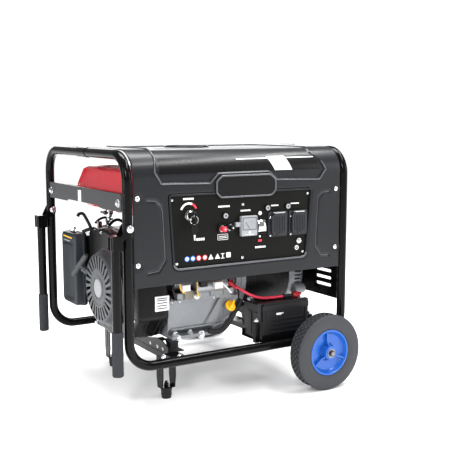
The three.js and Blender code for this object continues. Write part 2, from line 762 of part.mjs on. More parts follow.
const FILTER_Z = [75, 290];
add("air_filter_cover", "black", prism(roundedRectangle([405, 519], FILTER_Z, 14), "x", [22, 51.7]));
add("air_filter_base", "black", prism(roundedRectangle([412, 512], [85, 280], 10), "x", [52, 110]));

const CARB_X = [110.3, 167.7];

function carburettor() {
  return join(
    prism(roundedRectangle([418, 462], [210, 260], 8), "x", CARB_X),
    rod([139, 440, 182], [139, 440, 212], 21, 20),
  );
}

add("carburettor", "aluminium", carburettor());

function chokeLever() {
  const front = 418 - GAP;
  return join(rod([139, front - 5, 245], [139, front, 245], 6, 16), prism(
    [[136, 245], [142, 245], [130, 282], [123, 280]],
    "y",
    [front - 5, front - 2],
  ));
}

add("choke_lever", "zinc", chokeLever());

const hosePoints = [
  [TAP[0], TAP[1], TANK_BOTTOM - 34], [TAP[0], TAP[1] + 1, 329], [106, 368, 324], [124, 412, 322],
  [138, 438, 298], [139, 440, 278], [139, 440, 261],
];
add("fuel_hose", "rubber", tube(cableRoute(hosePoints, 14), 4.5, 8));

// Exhaust

function muffler() {
  const profile = [[0, 392], [50, 392], [62, 402], [62, 618], [50, 628], [0, 628]];
  const whole = join(
    turned(profile, "x", [0, 425, 265], 20),
    rod([323, 430, 238], [400, 426, 258], 16, 12),
    rod([620, 425, 265], [656, 425, 265], 15, 12),
  );
  const inside = rod([398, 425, 265], [622, 425, 265], 56, 20);
  return cut(whole, inside, rod([600, 425, 265], [660, 425, 265], 12, 12));
}

add("muffler", "grey", muffler());

// Electric starter

function starterMotor() {
  return join(
    rod([178, 128, 187], [318, 128, 187], 34),
    rod([310, 128, 187], [330, 128, 187], 26),
    rod([232, 92, 166], [334, 92, 166], 20, 20),
    rod([330, 92, 166], [341, 92, 166], 8, 12),
  );
}

add("starter_motor", "zinc", starterMotor());

// Alternator

const bell = [
  [18, 372 + GAP], [88, 372 + GAP], [105, 396], [105, 428], [96, 428], [96, 400], [80, 386], [18, 386],
  [18, 372 + GAP],
];
add("bell_housing", "aluminium", turned(bell, "x", [0, CRANK_Y, CRANK_Z], 24));

function stator() {
  const ring = [[66, 428 + GAP], [100, 428 + GAP], [100, 582], [66, 582], [66, 428 + GAP]];
  const foot = block([478, 522], [195, 285], [BASE_Z[0], 70]);
  const opening = rod([420, CRANK_Y, CRANK_Z], [600, CRANK_Y, CRANK_Z], 66, 24);
  return join(turned(ring, "x", [0, CRANK_Y, CRANK_Z], 24), cut(foot, opening));
}

add("alternator_stator", "black", stator());

const endBracket = [
  [14, 582 + GAP], [100, 582 + GAP], [102, 596], [92, 612], [66, 616], [62, 640], [0, 640], [0, 606],
  [14, 606], [14, 582 + GAP],
];
add("alternator_end_bracket", "aluminium", turned(endBracket, "x", [0, CRANK_Y, CRANK_Z], 24));

// Rubber mounts between the cross members and the engine

const MOUNT_Z = [MEMBER_TOP + GAP, BASE_Z[0] - GAP];

function rubberMount(x, y) {
  return rod([x, y, MOUNT_Z[0]], [x, y, MOUNT_Z[1]], 16, 20);
}

add("rubber_mount_front", "rubber", rubberMount(160, 80));
add("rubber_mount_rear", "rubber", rubberMount(160, 342));
add("rubber_mount_right", "rubber", rubberMount(500, CRANK_Y));

// Battery in its tray, with a strap over the top and the starter cable

const BATTERY_X = [409, 565];
const BATTERY_Y = [20, 118];
const BATTERY_Z = [7.6, 108];
const POST_Z = 60;

function batteryTray() {
  const [x0, x1] = BATTERY_X;
  const [y0, y1] = BATTERY_Y;
  const plateZ = [MEMBER_TOP + GAP, BATTERY_Z[0] - GAP];
  const pieces = [
    block([x0 - 4, x1 + 4], [y0 - 4, y1 + 4], plateZ),
    block([x0 - 4, x1 + 4], [y0 - 4, y0 - 1], [plateZ[0], 24]),
    block([x0 - 4, x1 + 4], [y1 + 1, y1 + 4], [plateZ[0], 24]),
  ];
  for (const [from, to] of [[x0 - 19, x0 - 5], [x1 + 5, x1 + 19]]) {
    pieces.push(block([from, to], [y0 + 8, y0 + 22], [plateZ[0], POST_Z - GAP]));
    pieces.push(block([from, to + (from < x0 ? 10 : 0)], [y0 + 8, y0 + 22], plateZ));
    pieces.push(block([from - (from < x0 ? 0 : 10), to], [y0 + 8, y0 + 22], plateZ));
  }
  return join(...pieces);
}

function battery() {
  return join(
    block(BATTERY_X, BATTERY_Y, BATTERY_Z),
    block([549, 564], [50, 72], [BATTERY_Z[1] - 1, 122]),
    block([412, 427], [88, 108], [BATTERY_Z[1] - 1, 122]),
  );
}

function batteryStrap() {
  const [x0, x1] = BATTERY_X;
  const top = BATTERY_Z[1] + GAP;
  const out = SHEET + GAP;
  const outline = [
    [x0 - 19, POST_Z], [x0 - GAP, POST_Z], [x0 - GAP, top], [x1 + GAP, top], [x1 + GAP, POST_Z],
    [x1 + 19, POST_Z], [x1 + 19, POST_Z + SHEET], [x1 + out, POST_Z + SHEET], [x1 + out, top + SHEET],
    [x0 - out, top + SHEET], [x0 - out, POST_Z + SHEET], [x0 - 19, POST_Z + SHEET],
  ];
  return prism(outline, "y", [28, 42]);
}

add("battery_tray", "frame", batteryTray());
add("battery", "black", battery());
add("battery_strap", "black", batteryStrap());

const cablePoints = [
  [343, 92, 166], [354, 89, 161], [378, 76, 144], [404, 72, 129], [433, 67, 119],
  [465, 61, 117], [500, 60, 117], [530, 61, 116], [548, 61, 115.5],
];
add("starter_cable", "cable", tube(cableRoute(cablePoints, 18), 4, 8));

export default generator;
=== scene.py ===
"""Looks of a portable generator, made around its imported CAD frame.

Lengths are in millimetres. They are measured from the place where the axes of the front left upright
and the front bottom rail would cross, and piece() turns them into metres in the frame's own axes.
"""
import math

import bmesh
import bpy
import numpy as np
from mathutils import Matrix, Vector


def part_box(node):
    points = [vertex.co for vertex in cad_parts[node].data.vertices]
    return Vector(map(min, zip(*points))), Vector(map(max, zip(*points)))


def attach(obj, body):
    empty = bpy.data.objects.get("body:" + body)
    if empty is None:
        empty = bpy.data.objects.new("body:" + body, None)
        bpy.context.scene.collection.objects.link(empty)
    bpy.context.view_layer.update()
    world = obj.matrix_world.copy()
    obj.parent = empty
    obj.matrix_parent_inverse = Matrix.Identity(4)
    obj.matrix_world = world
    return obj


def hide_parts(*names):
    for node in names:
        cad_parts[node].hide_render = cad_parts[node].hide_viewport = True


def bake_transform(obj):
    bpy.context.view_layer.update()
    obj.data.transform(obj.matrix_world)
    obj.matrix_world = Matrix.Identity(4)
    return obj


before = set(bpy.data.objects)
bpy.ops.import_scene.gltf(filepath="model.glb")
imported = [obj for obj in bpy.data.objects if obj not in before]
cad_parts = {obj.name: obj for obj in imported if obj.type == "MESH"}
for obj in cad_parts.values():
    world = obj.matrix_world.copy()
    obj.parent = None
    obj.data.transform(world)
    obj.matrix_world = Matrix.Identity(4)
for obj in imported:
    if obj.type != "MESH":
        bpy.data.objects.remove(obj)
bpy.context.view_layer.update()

TUBE = 12.5  # radius of the frame tube
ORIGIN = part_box("frame_tube_front")[0] + Vector((TUBE, TUBE, TUBE)) / 1000


def node_box(node):
    """Lowest and highest corner of a CAD node, in the script's millimetres."""
    low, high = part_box(node)
    return (low - ORIGIN) * 1000, (high - ORIGIN) * 1000


def middle(node):
    low, high = node_box(node)
    return (low + high) / 2


FRAME_LENGTH = node_box("frame_tube_front")[1].x - TUBE
FRAME_HEIGHT = node_box("frame_tube_front")[1].z - TUBE
FRAME_WIDTH = node_box("frame_tube_rear")[1].y - TUBE
FLOOR = node_box("rubber_foot_front")[0].z


# Camera and light

CAMERA_PLACE = (-825.0, -1802.9, 599.9)
CAMERA_TURN = 31.745  # degrees from straight ahead towards the right
CAMERA_DOWN = 7.352
CAMERA_LENS = 64.46


def make_camera():
    data = bpy.data.cameras.new("camera")
    data.lens = CAMERA_LENS
    data.sensor_width = 36
    camera = bpy.data.objects.new("camera", data)
    camera.location = ORIGIN + Vector(CAMERA_PLACE) / 1000
    camera.rotation_euler = (math.radians(90 - CAMERA_DOWN), 0, math.radians(-CAMERA_TURN))
    bpy.context.scene.collection.objects.link(camera)
    bpy.context.scene.camera = camera


def softbox(name, place, aim, size, power):
    data = bpy.data.lights.new(name, "AREA")
    data.shape = "RECTANGLE"
    data.size, data.size_y = size
    data.energy = power
    light = bpy.data.objects.new(name, data)
    light.location = place
    light.rotation_euler = (Vector(aim) - Vector(place)).to_track_quat("-Z", "Y").to_euler()
    bpy.context.scene.collection.objects.link(light)


ROOM = 1.12
ROOM_IN_GLOSS = 0.30


def make_studio():
    scene = bpy.context.scene
    world = bpy.data.worlds.new("studio")
    world.use_nodes = True
    tree = world.node_tree
    background = tree.nodes["Background"]
    background.inputs["Color"].default_value = (1, 1, 1, 1)
    path = tree.nodes.new("ShaderNodeLightPath")
    strength = tree.nodes.new("ShaderNodeMapRange")  # a white room, but darker in reflections
    strength.inputs["To Min"].default_value = ROOM
    strength.inputs["To Max"].default_value = ROOM_IN_GLOSS
    tree.links.new(path.outputs["Is Glossy Ray"], strength.inputs["Value"])
    tree.links.new(strength.outputs["Result"], background.inputs["Strength"])
    scene.world = world
    scene.view_settings.view_transform = "Standard"
    softbox("key", (-1.9, -2.3, 2.1), (0, -0.1, 0.3), (0.45, 0.9), 36)
    softbox("fill", (2.4, -2.0, 1.2), (0, 0, 0.3), (0.3, 1.4), 22)
    softbox("top", (0.1, 0.2, 2.6), (0, 0, 0.4), (1.5, 0.8), 80)
    softbox("front top", (1.0, -0.75, 2.3), (0, -0.2, 0.4), (2.0, 0.25), 46)
    softbox("back", (1.2, 2.5, 1.15), (0, 0, 0.5), (2.4, 1.1), 26)
    softbox("left strip", (-2.4, -0.2, 0.9), (0, 0, 0.3), (0.2, 1.6), 15)


def make_floor():
    mesh = bpy.data.meshes.new("floor")
    half, up = 45.0, FLOOR / 1000 + ORIGIN.z
    corners = [(-half, -half, up), (half, -half, up), (half, half, up), (-half, half, up)]
    mesh.from_pydata(corners, [], [(0, 1, 2, 3)])
    floor = bpy.data.objects.new("floor", mesh)
    bpy.context.scene.collection.objects.link(floor)
    mesh.materials.append(finish(
        "floor_pale", (0.93, 0.93, 0.93), 0.75, pattern="peel", scale=40, bump=0.02, mottle=0.01, shine=0
    ))


# Materials

STRETCH = {"brushed": (1, 1, 26), "turned": (26, 1, 1)}


def mix_colours(tree, factor, first, second):
    mix = tree.nodes.new("ShaderNodeMix")
    mix.data_type = "RGBA"
    mix.inputs["A"].default_value = (*first, 1)
    mix.inputs["B"].default_value = (*second, 1)
    tree.links.new(factor, mix.inputs["Factor"])
    return mix.outputs["Result"]


def finish(
    name, colour, rough, metallic=0.0, coat=0.0, pattern="grain", scale=900, bump=0.15, mottle=0.12,
    fleck=0.0, shine=0.5
):
    """A procedural finish: broad patches and fine flecks in the colour, uneven gloss, and a fine relief."""
    material = bpy.data.materials.new(name)
    material.use_nodes = True
    tree = material.node_tree
    nodes, links = tree.nodes, tree.links
    shader = nodes["Principled BSDF"]
    shader.inputs["Metallic"].default_value = metallic
    shader.inputs["Coat Weight"].default_value = coat
    shader.inputs["Specular IOR Level"].default_value = shine
    shader.inputs["Coat Roughness"].default_value = 0.06
    place = nodes.new("ShaderNodeTexCoord")
    mapping = nodes.new("ShaderNodeMapping")
    mapping.inputs["Scale"].default_value = STRETCH.get(pattern, (1, 1, 1))
    links.new(place.outputs["Object"], mapping.inputs["Vector"])

    broad = nodes.new("ShaderNodeTexNoise")
    broad.inputs["Scale"].default_value = 9
    broad.inputs["Detail"].default_value = 3
    links.new(place.outputs["Object"], broad.inputs["Vector"])

    if pattern in ("foam", "flake"):
        fine = nodes.new("ShaderNodeTexVoronoi")
        height = fine.outputs["Distance"]
    else:
        fine = nodes.new("ShaderNodeTexNoise")
        fine.inputs["Detail"].default_value = {"peel": 1, "cast": 7}.get(pattern, 5)
        fine.inputs["Roughness"].default_value = 0.7 if pattern in ("cast", "grain") else 0.5
        height = fine.outputs["Fac"]
    fine.inputs["Scale"].default_value = scale
    links.new(mapping.outputs["Vector"], fine.inputs["Vector"])

    darker = [channel * (1 - mottle) for channel in colour]
    lighter = [min(1, channel * (1 + mottle)) for channel in colour]
    base = mix_colours(tree, broad.outputs["Fac"], darker, lighter)
    if fleck:
        speck = nodes.new("ShaderNodeMix")
        speck.data_type = "RGBA"
        speck.blend_type = "OVERLAY"
        speck.inputs["Factor"].default_value = fleck
        links.new(base, speck.inputs["A"])
        links.new(fine.outputs["Color"] if pattern == "flake" else height, speck.inputs["B"])
        base = speck.outputs["Result"]
    links.new(base, shader.inputs["Base Color"])

    gloss = nodes.new("ShaderNodeMapRange")
    gloss.inputs["To Min"].default_value = max(0.03, rough - 0.08)
    gloss.inputs["To Max"].default_value = min(1, rough + 0.08)
    links.new(height, gloss.inputs["Value"])
    links.new(gloss.outputs["Result"], shader.inputs["Roughness"])

    relief = nodes.new("ShaderNodeBump")
    relief.inputs["Strength"].default_value = bump
    relief.inputs["Distance"].default_value = 1 / scale
    links.new(height, relief.inputs["Height"])
    links.new(relief.outputs["Normal"], shader.inputs["Normal"])
    return material


FRAME_PAINT = finish(
    "frame_paint", (0.0028, 0.0028, 0.0032), 0.13, shine=0.13, pattern="peel", scale=420, bump=0.10,
    mottle=0.2
)
COVER_PAINT = finish(
    "cover_paint", (0.0115, 0.0122, 0.0145), 0.33, 0.1, coat=0.04, shine=0.25, pattern="flake", scale=1500,
    bump=0.05, mottle=0.07, fleck=0.25
)
# Lighter copy of the cover paint: a painted highlight on beads and ridges whose flanks would catch the
# light.
HIGHLIGHT_PAINT = finish(
    "cover_painted_highlight", (0.085, 0.088, 0.096), 0.3, 0.2, coat=0.3, pattern="flake", scale=1500, bump=0.04,
    mottle=0.07
)
BRACKET_PAINT = finish(
    "bracket_paint", (0.016, 0.017, 0.019), 0.38, shine=0.35, pattern="peel", scale=500, bump=0.10
)
PANEL_BLACK = finish(
    "panel_black", (0.0048, 0.0048, 0.0038), 0.5, shine=0.10, scale=1400, bump=0.22, mottle=0.1
)
PLASTIC = finish(
    "moulded_plastic", (0.0045, 0.0046, 0.005), 0.24, shine=0.18, scale=1100, bump=0.18, mottle=0.15
)
BOX_PLASTIC = finish(
    "filter_box_plastic", (0.020, 0.024, 0.029), 0.40, shine=0.4, scale=1000, bump=0.20, mottle=0.15
)
FLAP_PLASTIC = finish("flap_plastic", (0.017, 0.018, 0.021), 0.36, shine=0.3, scale=1300)
FOAM = finish("foam_grip", (0.031, 0.033, 0.038), 0.88, shine=0.3, pattern="foam", bump=0.9, fleck=0.3)
RUBBER = finish("rubber", (0.012, 0.012, 0.013), 0.5, shine=0.25, scale=700, bump=0.25)
TYRE = finish("tyre_rubber", (0.034, 0.036, 0.041), 0.6, shine=0.35, scale=500, bump=0.35, mottle=0.22)
RIM_BLUE = finish(
    "rim_blue", (0.008, 0.094, 0.42), 0.36, shine=0.35, coat=0.25, pattern="peel", scale=350, bump=0.10,
    mottle=0.10
)
TANK_RED = finish(
    "tank_red", (0.62, 0.012, 0.026), 0.24, coat=0.8, pattern="peel", scale=260, bump=0.06, mottle=0.06
)
CABLE_RED = finish("cable_red", (0.66, 0.03, 0.07), 0.36, bump=0.12)
BOOT_RED = finish("boot_red", (0.42, 0.012, 0.02), 0.45, scale=600, bump=0.4, mottle=0.3)
YELLOW = finish("dipstick_yellow", (0.91, 0.50, 0.012), 0.34, bump=0.12, mottle=0.08)
ZINC = finish("zinc_plate", (0.74, 0.75, 0.77), 0.26, 1.0, pattern="brushed", scale=260, bump=0.08)
CHROME = finish("chrome", (0.86, 0.87, 0.88), 0.08, 1.0, pattern="peel", scale=160, bump=0.04, mottle=0.04)
CAST = finish(
    "cast_aluminium", (0.27, 0.28, 0.295), 0.42, 0.65, pattern="cast", scale=330, bump=0.55, mottle=0.2,
    fleck=0.35
)
STARTER_GREY = finish(
    "starter_grey", (0.062, 0.066, 0.072), 0.36, 0.35, pattern="peel", scale=500, mottle=0.15
)
DARK_STEEL = finish(
    "dark_steel", (0.10, 0.10, 0.11), 0.40, 0.8, pattern="turned", scale=150, bump=0.12, mottle=0.2
)
GREY_PLASTIC = finish("grey_plastic", (0.28, 0.29, 0.305), 0.42, scale=1200, bump=0.12, mottle=0.06)
WHITE_PLASTIC = finish("white_plastic", (0.84, 0.84, 0.83), 0.45, bump=0.10, mottle=0.05)
WHITE_PRINT = finish("white_print", (0.86, 0.86, 0.86), 0.5, scale=1200, bump=0.04, mottle=0.03)
RED_PRINT = finish("red_print", (0.70, 0.03, 0.05), 0.45, scale=1200, bump=0.04, mottle=0.04)
BLUE_PRINT = finish("blue_print", (0.02, 0.16, 0.62), 0.45, scale=1200, bump=0.04, mottle=0.04)
BAND_BLACK = finish(
    "band_black", (0.0045, 0.0045, 0.005), 0.28, shine=0.22, pattern="peel", scale=700, bump=0.05,
    mottle=0.08
)
METER_WINDOW = finish(
    "meter_window", (0.22, 0.23, 0.245), 0.14, coat=0.6, pattern="peel", scale=90, bump=0.03, mottle=0.35
)
STATOR_PAINT = finish(
    "stator_paint", (0.004, 0.004, 0.0045), 0.34, shine=0.15, pattern="peel", scale=300, bump=0.06,
    mottle=0.2
)
MUFFLER_STEEL = finish(
    "muffler_steel", (0.26, 0.26, 0.27), 0.44, 0.85, pattern="cast", scale=140, mottle=0.3
)
FOAM_DARK = finish("grip_rubber", (0.055, 0.057, 0.062), 0.6, scale=700, bump=0.3)
ROPE = finish("rope", (0.10, 0.10, 0.105), 0.85, pattern="foam", scale=1200, bump=0.8, mottle=0.2)
STARTER_STEEL = finish(
    "starter_steel", (0.36, 0.37, 0.39), 0.42, 0.7, pattern="brushed", scale=200, bump=0.12, mottle=0.25
)
BRASS = finish("brass", (0.70, 0.48, 0.16), 0.3, 1.0, pattern="turned", scale=200, bump=0.08)
WIRE_YELLOW = finish("wire_yellow", (0.80, 0.48, 0.03), 0.45, bump=0.1)
BRASS_DULL = finish(
    "bracket_olive", (0.21, 0.19, 0.16), 0.5, 0.6, pattern="cast", scale=300, bump=0.3, mottle=0.3
)
BATTERY_BLACK = finish(
    "battery_case", (0.010, 0.010, 0.011), 0.36, shine=0.25, scale=800, bump=0.25, mottle=0.2
)


# Shapes: each function returns a closed mesh in millimetres

RIGHT, LEFT = (1, 0, 0), (-1, 0, 0)
FORWARD, BACKWARD = (0, -1, 0), (0, 1, 0)
UP, DOWN = (0, 0, 1), (0, 0, -1)


SHARP = math.radians(30)  # edges that bend more than this are bevelled


def finished(builder, bevel=0.0, segments=2):
    bmesh.ops.remove_doubles(builder, verts=builder.verts, dist=0.002)
    bmesh.ops.recalc_face_normals(builder, faces=builder.faces)
    if bevel:
        edges = [e for e in builder.edges if len(e.link_faces) == 2 and e.calc_face_angle(0) > SHARP]
        bmesh.ops.bevel(
            builder, geom=edges, offset=bevel, segments=segments, profile=0.6, affect="EDGES",
            clamp_overlap=True
        )
    mesh = bpy.data.meshes.new("shape")
    builder.to_mesh(mesh)
    builder.free()
    return mesh


def loft(rings, bevel=0.0, closed=False, segments=2):
    """Skin over rings of points. A closed loft joins the last ring to the first, as in a hollow ring."""
    builder = bmesh.new()
    rows = [[builder.verts.new(point) for point in ring] for ring in rings]
    following = rows[1:] + rows[:1] if closed else rows[1:]
    for row, after in zip(rows, following):
        for i in range(len(row)):
            j = (i + 1) % len(row)
            builder.faces.new((row[i], row[j], after[j], after[i]))
    if not closed:
        builder.faces.new(rows[0])
        builder.faces.new(rows[-1])
    return finished(builder, bevel, segments)


def lathe(profile, start, direction, steps=48, bevel=0.0, closed=False):
    """Turns (radius, distance) pairs around the line from start along direction."""
    turn = Vector(direction).to_track_quat("Z", "Y")
    rings = []
    for radius, along in profile:
        angles = [2 * math.pi * i / steps for i in range(steps)]
        ring = [Vector((max(radius, 0) * math.cos(a), max(radius, 0) * math.sin(a), along)) for a in angles]
        rings.append([Vector(start) + turn @ point for point in ring])
    return loft(rings, bevel, closed)


def rod(start, end, radius, end_radius=None, bevel=0.8, steps=32):
    direction = Vector(end) - Vector(start)
    profile = [(radius, 0), (radius if end_radius is None else end_radius, direction.length)]
    return lathe(profile, start, direction, steps, bevel)


def rounded(corners, steps=6):
    """Outline through (u, v, radius) corners, with an arc at each corner."""
    points = []
    for i, (u, v, *radius) in enumerate(corners):
        here = Vector((u, v))
        if not radius or radius[0] <= 0:
            points.append(here)
            continue
        before = Vector(corners[i - 1][:2]) - here
        after = Vector(corners[(i + 1) % len(corners)][:2]) - here
        half = before.angle(after) / 2
        reach = min(radius[0] / math.tan(half), before.length * 0.49, after.length * 0.49)
        first, last = here + before.normalized() * reach, here + after.normalized() * reach
        for k in range(steps + 1):
            t = k / steps
            points.append(first * (1 - t) ** 2 + here * 2 * t * (1 - t) + last * t * t)
    return [tuple(point) for point in points]


def rectangle(us, vs, radius=0.0, steps=6):
    corners = [
        (us[0], vs[0], radius), (us[1], vs[0], radius), (us[1], vs[1], radius), (us[0], vs[1], radius)
    ]
    return rounded(corners, steps)


ACROSS = {
    "x": lambda u, v, s: (s, u, v),
    "y": lambda u, v, s: (u, s, v),
    "z": lambda u, v, s: (u, v, s),
}


def prism(outline, axis, span, bevel=0.8, segments=2):
    return loft([[ACROSS[axis](u, v, s) for u, v in outline] for s in span], bevel, segments=segments)


def block(xs, ys, zs, bevel=1.0, segments=2):
    return prism(rectangle(xs, ys), "z", zs, bevel, segments)


def smooth_route(points, steps=8):
    """Catmull-Rom curve through the points."""
    knots = [Vector(p) for p in points]
    knots = [knots[0] * 2 - knots[1]] + knots + [knots[-1] * 2 - knots[-2]]
    route = []
    for a, b, c, d in zip(knots, knots[1:], knots[2:], knots[3:]):
        for k in range(steps):
            t = k / steps
            route.append(0.5 * (2 * b + (c - a) * t + (
                2 * a - 5 * b + 4 * c - d
            ) * t * t + (3 * b - a - 3 * c + d) * t ** 3))
    return route + [knots[-2]]


def sweep(route, radius, sides=16, flat=1.0, bevel=0.0):
    """Tube along a route. flat squeezes its section; radius may be a function of 0..1."""
    route = [Vector(p) for p in route]
    ahead = (route[1] - route[0]).normalized()
    side = ahead.orthogonal().normalized()
    rings = []
    for i, point in enumerate(route):
        to = route[min(i + 1, len(route) - 1)] - route[max(i - 1, 0)]
        to.normalize()
        side = (ahead.rotation_difference(to) @ side).normalized()
        ahead = to
        up = ahead.cross(side)
        size = radius(i / (len(route) - 1)) if callable(radius) else radius
        angles = [2 * math.pi * k / sides for k in range(sides)]
        rings.append([point + side * size * math.cos(a) + up * size * flat * math.sin(a) for a in angles])
    return loft(rings, bevel)


def bent_route(corners, bend, steps=12):
    """Straight runs joined by arcs at the corners."""
    corners = [Vector(c) for c in corners]
    route = [corners[0]]
    for before, here, after in zip(corners, corners[1:], corners[2:]):
        into, out = (here - before).normalized(), (after - here).normalized()
        centre = here - into * bend + out * bend
        for k in range(steps + 1):
            angle = math.pi / 2 * k / steps
            route.append(centre - out * bend * math.cos(angle) + into * bend * math.sin(angle))
    return route + [corners[-1]]


def joined(*shapes):
    builder = bmesh.new()
    for shape in shapes:
        builder.from_mesh(shape)
        bpy.data.meshes.remove(shape)
    mesh = bpy.data.meshes.new("shape")
    builder.to_mesh(mesh)
    builder.free()
    return mesh


def cut(base, *cutters):
    """The base with the cutters' space taken out."""
    scene = bpy.context.scene
    body = bpy.data.objects.new("cut_body", base)
    tool = bpy.data.objects.new("cut_tool", joined(*cutters))
    for thing in (body, tool):
        scene.collection.objects.link(thing)
    modifier = body.modifiers.new("cut", "BOOLEAN")
    modifier.operation = "DIFFERENCE"
    modifier.solver = "EXACT"
    modifier.object = tool
    bpy.context.view_layer.update()
    result = bpy.data.meshes.new_from_object(body.evaluated_get(bpy.context.evaluated_depsgraph_get()))
    tool_mesh = tool.data
    for thing in (body, tool):
        bpy.data.objects.remove(thing)
    bpy.data.meshes.remove(base)
    bpy.data.meshes.remove(tool_mesh)
    return result


def around(count, radius, u, v):
    """Evenly spaced places on a circle."""
    angles = [2 * math.pi * k / count for k in range(count)]
    return [(u + radius * math.cos(a), v + radius * math.sin(a)) for a in angles]


def turned_about(shape, axis, centre, degrees):
    centre = Vector(centre)
    shape.transform(Matrix.Translation(centre) @ Matrix.Rotation(
        math.radians(degrees), 4, axis
    ) @ Matrix.Translation(-centre))
    return shape


def piece(name, material, shapes, replaces=(), body="chassis", smooth=32):
    """Joins the shapes into one visible piece, in metres, that moves with a body."""
    mesh = joined(*shapes)
    mesh.name = name
    mesh.transform(Matrix.Translation(ORIGIN) @ Matrix.Scale(0.001, 4))
    mesh.materials.clear()
    mesh.materials.append(material)
    mesh.polygons.foreach_set("use_smooth", [True] * len(mesh.polygons))
    mesh.polygons.foreach_set("material_index", [0] * len(mesh.polygons))
    mesh.set_sharp_from_angle(angle=math.radians(smooth))
    thing = bpy.data.objects.new(name, mesh)
    bpy.context.scene.collection.objects.link(thing)
    normals = thing.modifiers.new("normals", "WEIGHTED_NORMAL")
    normals.keep_sharp = True
    if body:
        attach(thing, body)
    if replaces:
        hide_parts(*replaces)
    return thing


def hex_bolt(point, out, size=6.0, height=4.5):
    """Washer, hexagon head and the rounded end of the thread."""
    washer = lathe([(0, 0), (size * 1.35, 0), (size * 1.35, 1.1), (0, 1.1)], point, out, 28, 0.3)
    head = lathe(
        [(0, 1), (size, 1), (size, height), (size * 0.8, height + 0.8), (0, height + 0.8)], point, out, 6
    )
    end = lathe(
        [
            (0, height), (size * 0.5, height), (size * 0.5, height + 1.8), (size * 0.35, height + 2.6),
            (0, height + 2.6)
        ], point, out, 16
    )
    return joined(washer, head, end)


def dome_screw(point, out, radius):
    """Low round head with a cross recess."""
    height = radius * 0.55
    turn = Vector(out).to_track_quat("Z", "Y")
    rings, steps = [], 32
    for share, rise in (
        (1.0, 0.0), (1.0, 0.25), (0.92, 0.55), (0.78, 0.8), (0.6, 0.93), (0.45, 0.97), (0.3, 1.0),
        (0.15, 1.0)
    ):
        ring = []
        for k in range(steps):
            angle = 2 * math.pi * k / steps
            u, v = radius * share * math.cos(angle), radius * share * math.sin(angle)
            in_slot = min(abs(u), abs(v)) < radius * 0.14 and share < 0.65
            ring.append(Vector(point) + turn @ Vector((u, v, height * (rise - (0.5 if in_slot else 0)))))
        rings.append(ring)
    return loft(rings)


# Frame, feet and wheels

FRAME_BEND = 65
FRAME_JOINT_GAP = 0.3


def frame_loops():
    """Two bent tubes that meet in the middle of the top cross tubes, where a sleeve joins them."""
    for side, y, way in (("front", 0, 1), ("rear", FRAME_WIDTH, -1)):
        joint = FRAME_WIDTH / 2 - way * FRAME_JOINT_GAP / 2
        corners = [
            (0, joint, FRAME_HEIGHT), (0, y, FRAME_HEIGHT), (0, y, 0),
            (FRAME_LENGTH, y, 0), (FRAME_LENGTH, y, FRAME_HEIGHT), (FRAME_LENGTH, joint, FRAME_HEIGHT),
        ]
        tube = sweep(bent_route(corners, FRAME_BEND), TUBE, 40)
        piece("frame_" + side, FRAME_PAINT, [tube], ["frame_tube_" + side])
    for name, x in (("frame_sleeve_left", 0), ("frame_sleeve_right", FRAME_LENGTH)):
        half = FRAME_WIDTH / 2
        ring = [(TUBE + 0.1, -32), (TUBE + 1.4, -31), (TUBE + 1.4, 31), (TUBE + 0.1, 32)]
        sleeve = lathe(ring, (x, half, FRAME_HEIGHT), BACKWARD, 40, closed=True)
        piece(name, FRAME_PAINT, [sleeve])


CHANNEL_TOP = node_box("cross_member_left")[1].z
FOOT_YS = [middle("rubber_foot_front").y, middle("rubber_foot_rear").y]
FOOT_X = middle("rubber_foot_front").x


def channel(middle_x):
    """Cross member of folded sheet, open below, with holes in its top."""
    half, sheet, ends = 20, 3, (TUBE + 0.4, FRAME_WIDTH - TUBE - 0.4)
    outline = [
        (-half, -12), (-half, CHANNEL_TOP), (half, CHANNEL_TOP), (half, -12), (half - sheet, -12),
        (half - sheet, CHANNEL_TOP - sheet), (sheet - half, CHANNEL_TOP - sheet), (sheet - half, -12),
    ]
    body = prism([(middle_x + u, v) for u, v in outline], "y", ends, 0.9)
    holes = []
    for y in (34, 60, FRAME_WIDTH - 60, FRAME_WIDTH - 34):
        for x in (middle_x - 9, middle_x + 9):
            holes.append(rod((x, y, CHANNEL_TOP - 6), (x, y, CHANNEL_TOP + 4), 3.2, bevel=0, steps=16))
    return cut(body, *holes)


def strap_leg(y):
    """Two straps down from the cross member, drawn in to a plate that carries the rubber foot."""
    bottom = node_box("rubber_foot_front")[1].z + 0.3
    shapes = []
    for side in (-1, 1):
        outline = [(-18, -9), (18, -9), (18, bottom + 30), (13, bottom), (-13, bottom), (-18, bottom + 30)]
        outer, inner = FOOT_X + side * 20, FOOT_X + side * 17
        strap = prism([(y + u, v) for u, v in outline], "x", sorted((outer, inner)), 0.6)
        shapes.append(strap)
        rib = prism([(y + u, v) for u, v in [(-3, -14), (3, -14), (3, bottom + 34), (-3, bottom + 34)]], "x",
                    sorted((outer - side * 2, outer + side * 0.8)), 0.6)
        shapes.append(rib)
    shapes.append(block((FOOT_X - 20, FOOT_X + 20), (y - 13, y + 13), (bottom, bottom + 3), 0.8))
    shapes.append(rod((FOOT_X, y, bottom + 2), (FOOT_X, y, bottom + 12), 7, bevel=1.2, steps=6))
    shapes.append(rod((FOOT_X, y, bottom + 10), (FOOT_X, y, bottom + 18), 4, bevel=0.8, steps=16))
    return shapes


